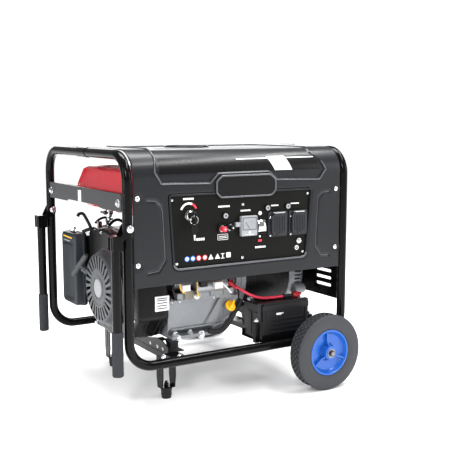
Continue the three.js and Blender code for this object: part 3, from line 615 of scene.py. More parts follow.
def base_parts():
    left = [channel(FOOT_X)] + strap_leg(FOOT_YS[0]) + strap_leg(FOOT_YS[1])
    piece("base_channel_left", FRAME_PAINT, left, ["cross_member_left"])
    right_x = middle("cross_member_right").x
    piece("base_channel_right", FRAME_PAINT, [channel(right_x)], ["cross_member_right"])
    for node, y in (("rubber_foot_front", FOOT_YS[0]), ("rubber_foot_rear", FOOT_YS[1])):
        low, high = node_box(node)
        profile = [
            (0, low.z), (12, low.z), (13, low.z + 1.5), (13.4, low.z + 8), (14.6, low.z + 9),
            (14.6, low.z + 12), (14, low.z + 13), (15.2, high.z - 4), (16, high.z - 3), (16, high.z),
            (0, high.z),
        ]
        piece(node + "_look", RUBBER, [lathe(profile, (FOOT_X, y, 0), UP, 40)], [node])
    bolts = []
    for x in (FOOT_X, right_x):
        for y in (22, FRAME_WIDTH - 22):
            bolts.append(hex_bolt((x, y, CHANNEL_TOP), UP, 5))
    for y in (TUBE + 6, FRAME_WIDTH - TUBE - 6):
        bolts.append(hex_bolt((FOOT_X - 20, y, -4), LEFT, 4.5))
    piece("base_bolts", ZINC, bolts)


WHEEL_X = middle("rim_front").x
AXLE_Z = middle("rim_front").z
WHEEL_RADIUS = (node_box("tyre_front")[1].z - node_box("tyre_front")[0].z) / 2
RIM_RADIUS = 63.5
TREAD_LUGS = 46


def mirrored(half):
    """Profile of (radius, distance) pairs, completed on the other side of its middle."""
    return [(r, -a) for r, a in half] + [(r, a) for r, a in reversed(half)]


def tyre_shapes(y, out):
    """Carcass with smooth shoulders and four staggered rows of tread lugs between them."""
    floor = WHEEL_RADIUS - 5.6
    half = [
        (RIM_RADIUS + 0.6, 21), (66, 22.6), (68, 22.2), (70, 23.4), (78, 24.8), (86, 24.9), (88, 24.4),
        (90, 24.9), (95, 24.6), (99.5, 23.6), (102.6, 21.8), (104, 19.6), (103.8, 18.2), (floor, 17.2),
    ]
    centre = (WHEEL_X, y, AXLE_Z)
    shapes = [lathe(mirrored(half), centre, (0, out, 0), 96, closed=True)]
    rows = (
        (-13.6, 5.4, 7.4, -0.4, 30), (-4.6, 5.8, 7, -0.1, -30), (4.6, 5.8, 7, -0.1, 30),
        (13.6, 5.4, 7.4, -0.4, -30)
    )
    for row, (across, width, length, sunk, twist) in enumerate(rows):
        for i in range(TREAD_LUGS):
            top = WHEEL_RADIUS + sunk
            lug = block((-length / 2, length / 2), (-width / 2, width / 2), (top - 6, top), 0.8, 1)
            lug.transform(Matrix.Rotation(math.radians(twist if i % 2 else -twist), 4, "Z"))
            lug.transform(Matrix.Translation((0, across, 0)))
            lug.transform(Matrix.Rotation(2 * math.pi * (i + 0.5 * (row % 2)) / TREAD_LUGS, 4, "Y"))
            lug.transform(Matrix.Translation(centre))
            shapes.append(lug)
    return shapes


def rim_shapes(y, out):
    """Blue dish with a rolled edge, three ribs and a toothed hub on each side."""
    half = [
        (9, 28), (18, 28), (18.6, 27.2), (19, 9), (22, 7.2), (50, 8.4), (54.5, 12), (57.5, 20.5), (59, 22),
        (62.4, 22), (RIM_RADIUS, 20.6)
    ]
    centre = Vector((WHEEL_X, y, AXLE_Z))
    shapes = [lathe(mirrored(half), centre, BACKWARD, 72, closed=True)]
    for side in (-1, 1):
        upright = Matrix(((1, 0, 0, 0), (0, 0, side, 0), (0, 1, 0, 0), (0, 0, 0, 1)))
        for k in range(3):
            rib = prism([(17, 5), (17, 22), (30, 16), (56, 19), (56, 5)], "y", (-2.3, 2.3), 0.7)
            rib.transform(upright)
            rib.transform(Matrix.Rotation(math.radians(-96 + 120 * k), 4, "Y"))
            rib.transform(Matrix.Translation(centre))
            shapes.append(rib)
        for k in range(18):
            tooth = block((18, 25), (-1.2, 1.2), (5, 13), 0.4, 1)
            tooth.transform(upright)
            tooth.transform(Matrix.Rotation(math.radians(20 * k), 4, "Y"))
            tooth.transform(Matrix.Translation(centre))
            shapes.append(tooth)
    for shape in shapes[1:]:
        builder = bmesh.new()
        builder.from_mesh(shape)
        bmesh.ops.recalc_face_normals(builder, faces=builder.faces)
        builder.to_mesh(shape)
        builder.free()
    return shapes


def wheels_and_axle():
    for side, y, out in (("front", middle("rim_front").y, -1), ("rear", middle("rim_rear").y, 1)):
        body = "wheel_" + side
        piece("tyre_%s_look" % side, TYRE, tyre_shapes(y, out), ["tyre_" + side], body=body)
        piece("rim_%s_look" % side, RIM_BLUE, rim_shapes(y, out), ["rim_" + side], body=body)
    low, high = node_box("axle")
    shapes = [rod((WHEEL_X, low.y + 4, AXLE_Z), (WHEEL_X, high.y - 4, AXLE_Z), 8, bevel=1)]
    for y in (0, FRAME_WIDTH):
        outline = [(-22, -13), (22, -13), (22, -17), (12, -34), (-12, -34), (-22, -17)]
        outline = [(WHEEL_X + u, v) for u, v in outline]
        shapes.append(prism(outline, "y", (y - 9, y + 9), 1.2))
    piece("axle_look", FRAME_PAINT, shapes, ["axle"])
    ends, nuts = [], []
    for end, out in ((low.y, -1), (high.y, 1)):
        inner = end - out * 9
        ends.append(lathe(
            [(8.3, 0), (12.4, 0), (13, 0.6), (13, 1.4), (12.4, 2), (8.3, 2)],
            (WHEEL_X, inner - out * 1.2, AXLE_Z), (0, out, 0), 32, closed=True
        ))
        nuts.append(rod(
            (WHEEL_X, inner + out, AXLE_Z), (WHEEL_X, inner + out * 7.4, AXLE_Z), 8.6, bevel=1, steps=6
        ))
        thread = [(0, 0)]
        for k in range(7):
            thread += [(5.4, 1.2 * k), (4.8, 1.2 * k + 0.6)]
        thread += [(4, 8.7), (0, 8.7)]
        ends.append(lathe(thread, (WHEEL_X, inner, AXLE_Z), (0, out, 0), 24))
    piece("axle_ends", MUFFLER_STEEL, ends)
    piece("axle_nuts", DARK_STEEL, nuts)


# Handles

PIVOT_Z = node_box("handle_front")[1].z - 10
HANDLE_X = middle("grip_front").x


def handles():
    for side, y in (("front", 0), ("rear", FRAME_WIDTH)):
        body = "handle_" + side
        low = node_box("grip_" + side)[0].z
        collar_low, collar_top = PIVOT_Z - 52, PIVOT_Z - 16
        ear = rounded([
            (-9, 11, 6), (10, 11, 10), (10, -10, 10), (HANDLE_X + 13, -28, 6), (HANDLE_X + 13, -52, 2),
            (HANDLE_X - 14, -52, 2), (HANDLE_X - 14, -16, 3), (HANDLE_X + 9, -16, 4),
        ])
        ear = [(u, PIVOT_Z + v) for u, v in ear]
        shapes = []
        for way in (-1, 1):
            shapes.append(prism(ear, "y", sorted((y + way * 13.1, y + way * 15.8)), 0.7))
        shapes.append(block(
            (HANDLE_X - 14, -TUBE - 5), (y - 15.8, y + 15.8), (collar_top - 3, collar_top), 1.2
        ))
        barrel = [
            (0, collar_low), (12.6, collar_low), (13.8, collar_low + 1.5), (13.8, collar_top - 6),
            (13, collar_top - 2), (0, collar_top - 1)
        ]
        shapes.append(lathe(barrel, (HANDLE_X, y, 0), UP, 40))
        shapes.append(rod((HANDLE_X, y, low + 5), (HANDLE_X, y, collar_low + 2), 12, steps=40))
        piece(body + "_look", FRAME_PAINT, shapes, [body], body=body)
        bolts = []
        for way in (-1, 1):
            start = (0, y + way * 15.8, PIVOT_Z)
            cap = [(0, 0), (9.2, 0), (9.2, 1), (7.4, 1.4), (7.2, 3.4), (5.6, 4.7), (2.5, 5.2), (0, 5.2)]
            bolts.append(lathe(cap, start, (0, way, 0), 36))
        piece(body + "_pivot_bolts", ZINC, bolts, body=body)
        grip_top = node_box("grip_" + side)[1].z
        radius = 14.2
        profile = [
            (0, low), (10, low), (12.8, low + 1), (radius, low + 3.5), (radius, grip_top - 3),
            (13.6, grip_top - 0.8), (12.4, grip_top)
        ]
        ribs = []
        for k in range(28):
            z = low + 6 + k * (grip_top - low - 14) / 28
            ribs += [(radius, z), (radius - 0.35, z + 0.8), (radius, z + 1.6)]
        profile = profile[:4] + ribs + profile[4:] + [
            (12.3, grip_top - 4), (12.3, low + 4.8), (0, low + 4.8)
        ]
        piece(
            "grip_%s_look" % side, FOAM, [lathe(profile, (HANDLE_X, y, 0), UP, 40)],
            ["grip_" + side], body=body
        )


# Top cover: an embossed sheet. A place on it is x and the distance s up its profile.

COVER_LOW, COVER_HIGH = node_box("top_cover")
COVER_RADIUS = 70
COVER_BEND_Z = COVER_HIGH.z - COVER_RADIUS
COVER_TOP_S = COVER_BEND_Z + COVER_RADIUS * math.pi / 2  # where the flat top starts
COVER_BACK_S = COVER_TOP_S + COVER_HIGH.y - COVER_LOW.y - COVER_RADIUS
CAP = (middle("fuel_cap").x, middle("fuel_cap").y)


def height_to_s(z):
    """The profile distance of a height on the cover's front, which equals the height up to the bend."""
    if z <= COVER_BEND_Z:
        return z
    return COVER_BEND_Z + COVER_RADIUS * math.asin(min(1, (z - COVER_BEND_Z) / COVER_RADIUS))


def depth_to_s(y):
    return COVER_TOP_S + y - COVER_LOW.y - COVER_RADIUS


def cover_point(x, s, lift=0.0):
    """Point on the cover's outer face, moved out by lift."""
    if s <= COVER_BEND_Z:
        place, out = (COVER_LOW.y, s), (-1, 0)
    elif s <= COVER_TOP_S:
        angle = (s - COVER_BEND_Z) / COVER_RADIUS
        out = (-math.cos(angle), math.sin(angle))
        centre_y = COVER_LOW.y + COVER_RADIUS
        place = (centre_y + COVER_RADIUS * out[0], COVER_BEND_Z + COVER_RADIUS * out[1])
    elif s <= COVER_BACK_S:
        place, out = (COVER_LOW.y + COVER_RADIUS + s - COVER_TOP_S, COVER_HIGH.z), (0, 1)
    else:
        place, out = (COVER_HIGH.y, COVER_HIGH.z - (s - COVER_BACK_S)), (1, 0)
    return (x, place[0] + out[0] * lift, place[1] + out[1] * lift)


PANEL_LOW, PANEL_HIGH = 238, 424
PANEL_CORNERS = [(112, PANEL_HIGH, 5), (124, PANEL_LOW, 17), (532, PANEL_LOW, 17), (550, PANEL_HIGH, 5)]

PRESSED_DEPTH = 3.0  # how far the bonnet-like middle of the cover is pressed in
PRESSED_SLOPE = 5.0
# Half width and depth of the pressed grooves
FRAME_GROOVE, BRACKET_GROOVE, TOP_GROOVE, PANEL_GROOVE = (4.6, 2.6), (6.0, 2.4), (6.0, 2.6), (4.5, 2.4)
BOLT_WELL = (13.5, 3.2)  # radius and depth
CAP_HOLE = 60.5
SHEET = 1.5

# Pressed lines as (x, s) polylines
PRESSED_FRAME = [
    (100, depth_to_s(320)), (80, depth_to_s(300)), (79, height_to_s(515)), (72, 482), (90, 453), (228, 450),
    (252, 474), (408, 475), (434, 453), (576, 449), (598, 476), (586, 500), (562, height_to_s(523)),
    (574, depth_to_s(120)), (574, depth_to_s(300)), (556, depth_to_s(320)), (100, depth_to_s(320)),
]
PRESSED_BRACKETS = [
    [(52, 414), (76, 412), (89, 400), (93, 384), (99, 264), (81, 238), (52, 235)],
    [(612, 414), (590, 412), (575, 400), (572, 384), (566, 264), (586, 238), (612, 235)],
]
PRESSED_TOP = [
    (150, depth_to_s(120)), (510, depth_to_s(120)), (510, depth_to_s(150)), (150, depth_to_s(150)),
    (150, depth_to_s(120))
]
FACE_BOLTS = [(26, 256), (26, 420), (FRAME_LENGTH - 27, 256), (FRAME_LENGTH - 27, 420)]
LIP_S = COVER_BACK_S + 14


def polyline_distance(points, xs, ss):
    nearest = np.full(xs.shape, 1e9)
    for (x0, s0), (x1, s1) in zip(points, points[1:]):
        dx, ds = x1 - x0, s1 - s0
        along = np.clip(((xs - x0) * dx + (ss - s0) * ds) / (dx * dx + ds * ds), 0, 1)
        nearest = np.minimum(nearest, np.hypot(xs - x0 - along * dx, ss - s0 - along * ds))
    return nearest


def inside_outline(outline, xs, ss):
    """True for the grid places inside a closed outline."""
    inside = np.zeros(xs.shape, bool)
    for (x0, s0), (x1, s1) in zip(outline, outline[1:] + outline[:1]):
        crosses = (s0 > ss) != (s1 > ss)
        at = x0 + (ss - s0) * (x1 - x0) / (s1 - s0 if s1 != s0 else 1e-9)
        inside ^= crosses & (xs < at)
    return inside


def hollow(distance, width, depth):
    """Round-bottomed groove of that half width."""
    t = np.clip(1 - distance / width, 0, 1)
    return -depth * t * t * (3 - 2 * t)


def top_cover():
    step = 2.2
    columns = int((COVER_HIGH.x - COVER_LOW.x) / step) + 1
    rows = int((LIP_S - COVER_LOW.z) / step) + 1
    xs, ss = np.meshgrid(
        np.linspace(COVER_LOW.x, COVER_HIGH.x, columns), np.linspace(COVER_LOW.z, LIP_S, rows)
    )
    within = np.where(
        inside_outline(PRESSED_FRAME[:-1], xs, ss), 1, -1
    ) * polyline_distance(PRESSED_FRAME, xs, ss)
    edge = np.clip(0.5 + within / PRESSED_SLOPE, 0, 1)
    lift = -PRESSED_DEPTH * edge * edge * (3 - 2 * edge) - hollow(np.abs(within), *FRAME_GROOVE)
    for line in PRESSED_BRACKETS:
        lift = np.minimum(lift, hollow(polyline_distance(line, xs, ss), *BRACKET_GROOVE))
    lift += hollow(polyline_distance(PRESSED_TOP, xs, ss), *TOP_GROOVE)
    for x, s in FACE_BOLTS:
        lift = np.minimum(
            lift, -BOLT_WELL[1] * np.clip((BOLT_WELL[0] - np.hypot(xs - x, ss - s)) / 4, 0, 1)
        )
    outline = rounded(PANEL_CORNERS)
    near_panel = polyline_distance(outline + outline[:1], xs, ss)
    lift = np.minimum(lift, hollow(near_panel - 1.5, *PANEL_GROOVE) * (near_panel < 6))
    sides = np.minimum(xs - COVER_LOW.x, COVER_HIGH.x - xs)
    lift = np.minimum(lift, -1.6 * np.clip(1 - sides / 2.6, 0, 1) ** 2)
    cap_ring = np.hypot(xs - CAP[0], ss - depth_to_s(CAP[1]))
    holes = (inside_outline(outline, xs, ss) & (near_panel > 0.5)) | (cap_ring < CAP_HOLE)

    builder = bmesh.new()
    grid = [
        [builder.verts.new(cover_point(xs[i, j], ss[i, j], lift[i, j])) for j in range(columns)]
        for i in range(rows)
    ]
    for i in range(rows - 1):
        for j in range(columns - 1):
            if not holes[i:i + 2, j:j + 2].all():
                builder.faces.new((grid[i][j], grid[i][j + 1], grid[i + 1][j + 1], grid[i + 1][j]))
    loose = [v for v in builder.verts if not v.link_faces]
    bmesh.ops.delete(builder, geom=loose, context="VERTS")
    sheet = bpy.data.meshes.new("shape")
    builder.to_mesh(sheet)
    builder.free()
    cover = piece("top_cover_look", COVER_PAINT, [sheet], ["top_cover"], smooth=50)
    thickness = cover.modifiers.new("sheet", "SOLIDIFY")
    thickness.thickness = SHEET / 1000
    thickness.offset = -1

    beads = []
    face = COVER_LOW.y
    opening = rounded([(u, v, r + 1) for u, v, r in PANEL_CORNERS], 8)
    beads.append(closed_sweep([(u, face - 0.2, v) for u, v in opening], 2.6, 16, 0.9))
    # Beads along the panel's lower edge and the pressed lines, in the lighter paint: a painted highlight on
    # their lit flanks.
    rolled = [sweep([(u, face - 0.6, v - 0.6) for u, v in opening if v < PANEL_LOW + 14], 2.9, 12)]
    front_lines = [PRESSED_FRAME[1:12]] + PRESSED_BRACKETS
    for line, radius in zip(front_lines, (1.7, 0.9, 0.9)):
        spots = []
        for (x0, s0), (x1, s1) in zip(line, line[1:]):
            count = max(2, int(math.hypot(x1 - x0, s1 - s0) / 4))
            spots += [(x0 + (x1 - x0) * k / count, s0 + (s1 - s0) * k / count) for k in range(count)]
        spots.append(line[-1])
        height = 1.2 if radius > 1 else -1.6
        rolled.append(sweep([cover_point(x, s, height) for x, s in spots], radius, 12))
    piece("cover_highlight_beads", HIGHLIGHT_PAINT, rolled)
    ring = [(57.8, -3.2), (57.8, 0.2), (59.2, 1.4), (61.8, 1.4), (63.6, -0.6), (62, -3.2)]
    beads.append(lathe(ring, (*CAP, COVER_HIGH.z - 0.2), UP, 96, closed=True))
    fold = [
        (face, COVER_LOW.z - 0.2), (10, COVER_LOW.z - 0.2), (10, COVER_LOW.z + 1.4),
        (face, COVER_LOW.z + 1.4)
    ]
    beads.append(prism(fold, "x", (COVER_LOW.x, COVER_HIGH.x), 0.7))
    piece("cover_edges", COVER_PAINT, beads)

    bolts, wells = [], []
    for x, z in FACE_BOLTS:
        bolts.append(lathe(
            [(0, 0), (7.2, 0), (7.2, 1), (6.6, 2), (4.6, 3.5), (2, 4.1), (0, 4.2)], (x, face + 2.6, z),
            FORWARD, 32
        ))
        # Black rings in the wells darken the surround of each bolt.
        wells.append(lathe(
            [(7, 0), (13, 0), (14.5, 1.4), (13.6, 3.6), (11, 3.9), (7, 2.4)], (x, face + 3.0, z), FORWARD,
            40, closed=True
        ))
    piece("cover_bolts", ZINC, bolts)
    piece("cover_bolt_wells", RUBBER, wells)


def closed_sweep(route, radius, sides=16, flat=1.0):
    """Tube along a closed route that lies in an XZ plane; flat squeezes it along Y."""
    rings = []
    count = len(route)
    for i, point in enumerate(route):
        ahead = (Vector(route[(i + 1) % count]) - Vector(route[i - 1])).normalized()
        side = ahead.cross(Vector(BACKWARD)).normalized()
        angles = [2 * math.pi * k / sides for k in range(sides)]
        rings.append([
            Vector(point) + side * radius * math.cos(a) + Vector((0, radius * flat * math.sin(a), 0))
            for a in angles
        ])
    return loft(rings, closed=True)


def on_cover(outline, lift, thickness=0.5, step=4.0):
    """Thin patch on the cover inside four (x, s) corners: two below, then two above."""
    (x0, s0), (x1, s1), (x2, s2), (x3, s3) = outline
    columns = max(2, int(abs(x1 - x0) / step))
    rows = max(2, int(abs(s3 - s0) / 2.5))
    builder = bmesh.new()
    layers = []
    for out in (lift, lift + thickness):
        layer = []
        for i in range(rows + 1):
            t = i / rows
            left, right = (x0 + (x3 - x0) * t, s0 + (s3 - s0) * t), (x1 + (x2 - x1) * t, s1 + (s2 - s1) * t)
            line = []
            for j in range(columns + 1):
                u = j / columns
                x, s = left[0] + (right[0] - left[0]) * u, left[1] + (right[1] - left[1]) * u
                line.append(builder.verts.new(cover_point(x, s, out)))
            layer.append(line)
        layers.append(layer)
    under, over = layers
    for i in range(rows):
        for j in range(columns):
            builder.faces.new((under[i][j], under[i][j + 1], under[i + 1][j + 1], under[i + 1][j]))
            builder.faces.new((over[i][j], over[i][j + 1], over[i + 1][j + 1], over[i + 1][j]))
    rim = [(i, 0) for i in range(rows + 1)] + [(rows, j) for j in range(1, columns + 1)]
    rim += [(i, columns) for i in range(rows - 1, -1, -1)] + [(0, j) for j in range(columns - 1, 0, -1)]
    for (a, b), (c, d) in zip(rim, rim[1:] + rim[:1]):
        builder.faces.new((under[a][b], under[c][d], over[c][d], over[a][b]))
    return finished(builder)


def cover_trim():
    """Black band, blank label and line across the bend, and the eight-sided pad above the panel."""
    low, high = height_to_s(477), height_to_s(516)
    band = on_cover([(86, low), (585, low), (566, high), (91, high)], 0.05 - PRESSED_DEPTH)
    piece("cover_band", BAND_BLACK, [band])
    label = on_cover(
        [(430, low + 1), (486, low + 1), (469, high - 0.5), (411, high - 0.5)], 0.6 - PRESSED_DEPTH, 0.3
    )
    line = on_cover(
        [(316, high - 8.6), (566, high - 7), (565, high - 4.4), (315, high - 6)], 0.6 - PRESSED_DEPTH, 0.25
    )
    piece("cover_band_prints", WHITE_PRINT, [label, line])
    face = COVER_LOW.y
    corners = [
        (246, 425), (259, 413), (414, 413), (428, 425), (428, 456), (410, 468), (263, 468), (246, 456)
    ]
    pad_edge = rounded([(u, v, 15) for u, v in corners])
    pad = prism(pad_edge, "y", (face - 3.6, face + 1), 1.4)
    ridge_route = [(u, face - 3.6, v) for u, v in pad_edge]
    # The ridge round the pad is in the lighter paint, a painted highlight.
    piece("badge_ridge", HIGHLIGHT_PAINT, [closed_sweep(ridge_route, 2.4, 12, 1.0)])
    piece("badge_pad", BAND_BLACK, [pad])


# Control panel. Its places are (x, z) on the panel's front face.

PANEL_FACE = COVER_LOW.y + 3.3
ON_PANEL = PANEL_FACE - 0.3
PANEL_SCREWS = [(120, 412), (329, 391.5), (539, 411.5), (132.5, 251), (327.5, 251), (523.5, 252)]
KEY = (middle("ignition_switch").x, middle("ignition_switch").z)
DC_BREAKER = (middle("dc_breaker_button").x, middle("dc_breaker_button").z)
BREAKERS = [
    (middle("socket_breaker_" + side).x, middle("socket_breaker_" + side).z) for side in ("left", "right")
]
MAIN_BREAKER = (middle("main_breaker_rocker").x, middle("main_breaker_rocker").z)
EARTH = (509.5, 283)


def disc(x, z, radius, front, depth=0.5, inner=0.0, steps=36):
    """Flat disc or ring that faces the front."""
    if inner:
        ring = [(inner, 0), (radius, 0), (radius, depth), (inner, depth)]
        return lathe(ring, (x, front + depth, z), FORWARD, steps, closed=True)
    return lathe(
        [(0, 0), (radius, 0), (radius, depth * 0.7), (radius * 0.97, depth), (0, depth)],
        (x, front + depth, z), FORWARD, steps
    )


def bar(x, z, width, height, front=None, depth=0.35):
    front = PANEL_FACE - depth if front is None else front
    half, tall = width / 2, height / 2
    outline = [(x - half, z - tall), (x + half, z - tall), (x + half, z + tall), (x - half, z + tall)]
    return prism(outline, "y", (front, front + depth), 0)


def arc_band(x, z, inner, outer, start, end, depth=0.4, steps=18):
    """Printed arc between two angles, in degrees from +X towards +Z."""
    angles = [math.radians(start + (end - start) * k / steps) for k in range(steps + 1)]
    outline = [(x + outer * math.cos(a), z + outer * math.sin(a)) for a in angles]
    outline += [(x + inner * math.cos(a), z + inner * math.sin(a)) for a in reversed(angles)]
    rings = [[(u, y, v) for u, v in outline] for y in (PANEL_FACE - depth, PANEL_FACE)]
    return loft(rings)


def panel_plate():
    margin = 7
    corners = [
        (PANEL_CORNERS[0][0] - margin, PANEL_HIGH + margin, 6),
        (PANEL_CORNERS[1][0] - margin, PANEL_LOW - margin, 16),
        (PANEL_CORNERS[2][0] + margin, PANEL_LOW - margin, 16),
        (PANEL_CORNERS[3][0] + margin, PANEL_HIGH + margin, 6),
    ]
    shapes = [prism(rounded(corners), "y", (PANEL_FACE, PANEL_FACE + 3), 0.6)]
    for x, z in [DC_BREAKER, *BREAKERS]:
        nut = [(5.9, 0), (8.8, 0), (8.8, 2.2), (8, 3.4), (6.6, 3.9), (5.9, 3.9)]
        shapes.append(lathe(nut, (x, PANEL_FACE, z), FORWARD, 36, closed=True))
    piece("panel_plate", PANEL_BLACK, shapes, ["control_panel"])
    screws = [dome_screw((x, PANEL_FACE, z), FORWARD, 3.9) for x, z in PANEL_SCREWS]
    screws += [dome_screw((x - 25, ON_PANEL - 3.1, z), FORWARD, 2.9) for x in SOCKETS_X for z in (352, 303)]
    x, z = EARTH
    screws.append(rod((x, PANEL_FACE - 3, z), (x, PANEL_FACE, z), 7.5, bevel=0.5))
    screws.append(rod((x, PANEL_FACE - 6.5, z), (x, PANEL_FACE - 3, z), 6, bevel=0.6, steps=6))
    screws.append(rod((x, PANEL_FACE - 10.8, z), (x, PANEL_FACE - 6, z), 3, bevel=0.7, steps=20))
    piece("panel_screws", ZINC, screws)


SOCKETS_X = [middle("socket_left").x, middle("socket_right").x]
SOCKET_Z = middle("socket_left").z


def dashes(x, z, width, height):
    """A row of blank marks in place of lettering."""
    count = max(3, round(width / height))
    return [
        bar(x + width * ((k + 0.5) / count - 0.5), z, 0.72 * width / count, height) for k in range(count)
    ]


def panel_prints():
    """Plain marks only: dial arc, outlines, dots and blank signs."""
    x, z = KEY[0] - 2, KEY[1] + 7
    white = [arc_band(x, z, 20.5, 25.5, 66, 160)]
    red = [arc_band(x, z, 20.5, 25.5, 24, 64)]
    blue = []
    for u, v, width, height in (
        (167, 413.5, 31, 5), (271, 389, 35, 4.6), (337, 375, 31, 4.2), (430, 383.5, 24, 3.4),
        (496, 386, 28, 3.2), (384, 275, 34, 4.8), (201, 309, 25, 6.5),
    ):
        white += dashes(u, v, width, height)
    for (u0, u1), (v0, v1) in (
        ((252, 283), (316.6, 317.6)), ((252, 283), (302.4, 303.4)), ((252, 253), (302.4, 317.6)),
        ((282, 283), (302.4, 317.6))
    ):
        white.append(bar((u0 + u1) / 2, (v0 + v1) / 2, u1 - u0, v1 - v0))
    white += [bar(267.5, 311.8, 24, 1.4), bar(267.5, 307.6, 24, 1.4)]
    white += [disc(383, 365.5, 5.2, PANEL_FACE - 0.8, 0.8), disc(382.5, 303.5, 2.6, PANEL_FACE - 0.6, 0.6)]
    white.append(disc(504, 264, 6.2, PANEL_FACE - 0.4, 0.4, inner=4.6))
    white += [bar(504, 265, 6, 1.0), bar(504, 262.6, 3.6, 0.9), bar(504, 267, 1.0, 3.4)]
    for u, colour in ((162, blue), (179, blue), (196, red), (214, red)):
        colour.append(disc(u, 261, 7.0, PANEL_FACE - 0.3, 0.3, inner=4.9))
    for u, radius in ((196, 4.6), (214, 4.6), (179, 4.4)):
        white.append(disc(u, 261, radius, PANEL_FACE - 0.3, 0.3))
    white.append(disc(162, 261, 4.5, PANEL_FACE - 0.3, 0.3, inner=2.2))
    for u in (231.5, 251.5):
        rings = [
            [(u - 7.5, y, 254.8), (u + 7.5, y, 254.8), (u, y, 268)] for y in (PANEL_FACE - 0.3, PANEL_FACE)
        ]
        white.append(loft(rings))
    white += [
        bar(267, 261 + 5.5, 11, 1.4), bar(267, 261 - 6, 11, 1.4), bar(267, 261, 2.6, 9),
        bar(284.5, 262, 13, 13)
    ]
    red.append(bar(382.5, 292.5, 11, 5.4, depth=1.4))
    piece("panel_marks_white", WHITE_PRINT, white)
    piece("panel_marks_red", RED_PRINT, red)
    piece("panel_marks_blue", BLUE_PRINT, blue)


def key_switch():
    x, z = KEY
    bezel = [
        (0, 0), (13, 0), (13, 1.6), (12.2, 2.4), (11.2, 6.2), (10, 7), (8.4, 7), (7.4, 5.6), (3, 5), (0, 5)
    ]
    bezel = [lathe(bezel, (x, ON_PANEL, z), FORWARD, 48), rod((x, ON_PANEL - 1, z), (x, 28, z), 9)]
    for u, v in around(24, 12.6, x, z):
        bezel.append(rod((u, ON_PANEL, v), (u, ON_PANEL - 2, v), 0.8, bevel=0.2, steps=8))
    piece("key_switch_look", CHROME, bezel, ["ignition_switch"])
    piece("key_switch_core", PLASTIC, [disc(x, z, 7.2, ON_PANEL - 6.2, 1.4)])

    front = ON_PANEL - 7.3
    hole_y = front - 16.5
    bow = rounded([
        (front - 5, z - 7, 4), (front - 10, z - 11, 5), (front - 23.5, z - 11, 8),
        (front - 23.5, z + 11, 8), (front - 10, z + 11, 5), (front - 5, z + 7, 4)
    ])
    head = prism(bow, "x", (x - 2.0, x + 2.0), 1.0)
    head = cut(head, rod((x - 5, hole_y, z), (x + 5, hole_y, z), 5.2, bevel=0, steps=24))
    piece("ignition_key_head", PLASTIC, [head], ["ignition_key"], body="ignition_key")
    blade = [block((x - 1.0, x + 1.0), (front - 8, front + 1.5), (z - 3.4, z + 3.4), 0.4)]
    piece("ignition_key_blade", ZINC, blade, ["ignition_key"], body="ignition_key")

    ring_radius = 11
    ring = []
    for turn in range(97):
        angle = 4 * math.pi * turn / 96
        ring.append((
            x + ring_radius * math.sin(angle), hole_y + 0.9 * turn / 96 - 0.45,
            z + 0.9 - ring_radius + ring_radius * math.cos(angle)
        ))
    low = z + 0.9 - 2 * ring_radius
    blade = rounded([(x - 3, low - 22), (x - 1, low - 40), (x + 2.6, low - 40), (x + 3.4, low - 22)])
    ring_wire = sweep(ring, 0.6, 10)
    spare = [prism(blade, "y", (hole_y - 0.8, hole_y + 0.8), 0.3)]
    piece("spare_key_blade", CHROME, spare)
    loop = piece("key_ring", ZINC, [ring_wire], body=None)
    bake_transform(loop)
    grip = prism(
        rounded([
            (x - 4, low - 26, 3), (x - 10, low - 18, 5), (x - 9, low + 3, 6), (x + 9, low + 3, 6),
            (x + 10, low - 18, 5), (x + 4, low - 26, 3)
        ]), "y", (hole_y - 1.7, hole_y + 1.7), 0.9
    )
    grip = cut(grip, rod((x, hole_y - 4, low - 1), (x, hole_y + 4, low - 1), 3, bevel=0, steps=20))
    piece("spare_key_head", PLASTIC, [grip])


def breaker_buttons():
    spots = [("dc_breaker_button", "dc_breaker", DC_BREAKER)]
    spots += [
        ("socket_breaker_" + side, "socket_breaker_" + side, spot)
        for side, spot in zip(("left", "right"), BREAKERS)
    ]
    for node, body, (x, z) in spots:
        profile = [(0, -8), (5.4, -8), (5.4, 5), (6.8, 5.2), (6.8, 6.4), (6, 7), (5.2, 6.7), (0, 6.3)]
        shapes = [lathe(profile, (x, PANEL_FACE, z), FORWARD, 36)]
        piece(node + "_look", GREY_PLASTIC, shapes, [node], body=body)
        cap = [disc(x, z, 2.6, PANEL_FACE - 6.6, 0.5)]
        piece(node + "_cap", FLAP_PLASTIC, cap, body=body)


def dc_terminals():
    low, high = node_box("dc_terminals")
    base_outline = rectangle((low.x, high.x), (low.z, high.z), 8)
    piece(
        "dc_base", PLASTIC, [prism(base_outline, "y", (ON_PANEL - 3, ON_PANEL), 0.9)],
        ["dc_terminals"]
    )
    for name, x, z, material, slot in (
        ("dc_post_red", 263, 332, RED_PRINT, "terminal_red"),
        ("dc_post_black", 287, 334, PLASTIC, "black_plastic")
    ):
        front = ON_PANEL - 20
        knob = [(0, 0), (5.6, 0), (7, 1.2), (7, 11), (6, 12), (4, 12.2), (4, 18), (0, 18)]
        shapes = [lathe(knob, (x, front, z), BACKWARD, 36)]
        for u, v in around(14, 6.9, x, z):
            shapes.append(rod((u, front + 1.5, v), (u, front + 11, v), 0.9, bevel=0.2, steps=8))
        piece(name, material, shapes)
    rims = [
        disc(263, 332, 8.4, ON_PANEL - 4.2, 1.2, inner=4.4),
        disc(287, 334, 8.4, ON_PANEL - 4.2, 1.2, inner=4.4)
    ]
    rims += [disc(263, 332, 2.4, ON_PANEL - 20.5, 0.9), disc(287, 334, 2.4, ON_PANEL - 20.5, 0.9)]
    piece("dc_rims", ZINC, rims)


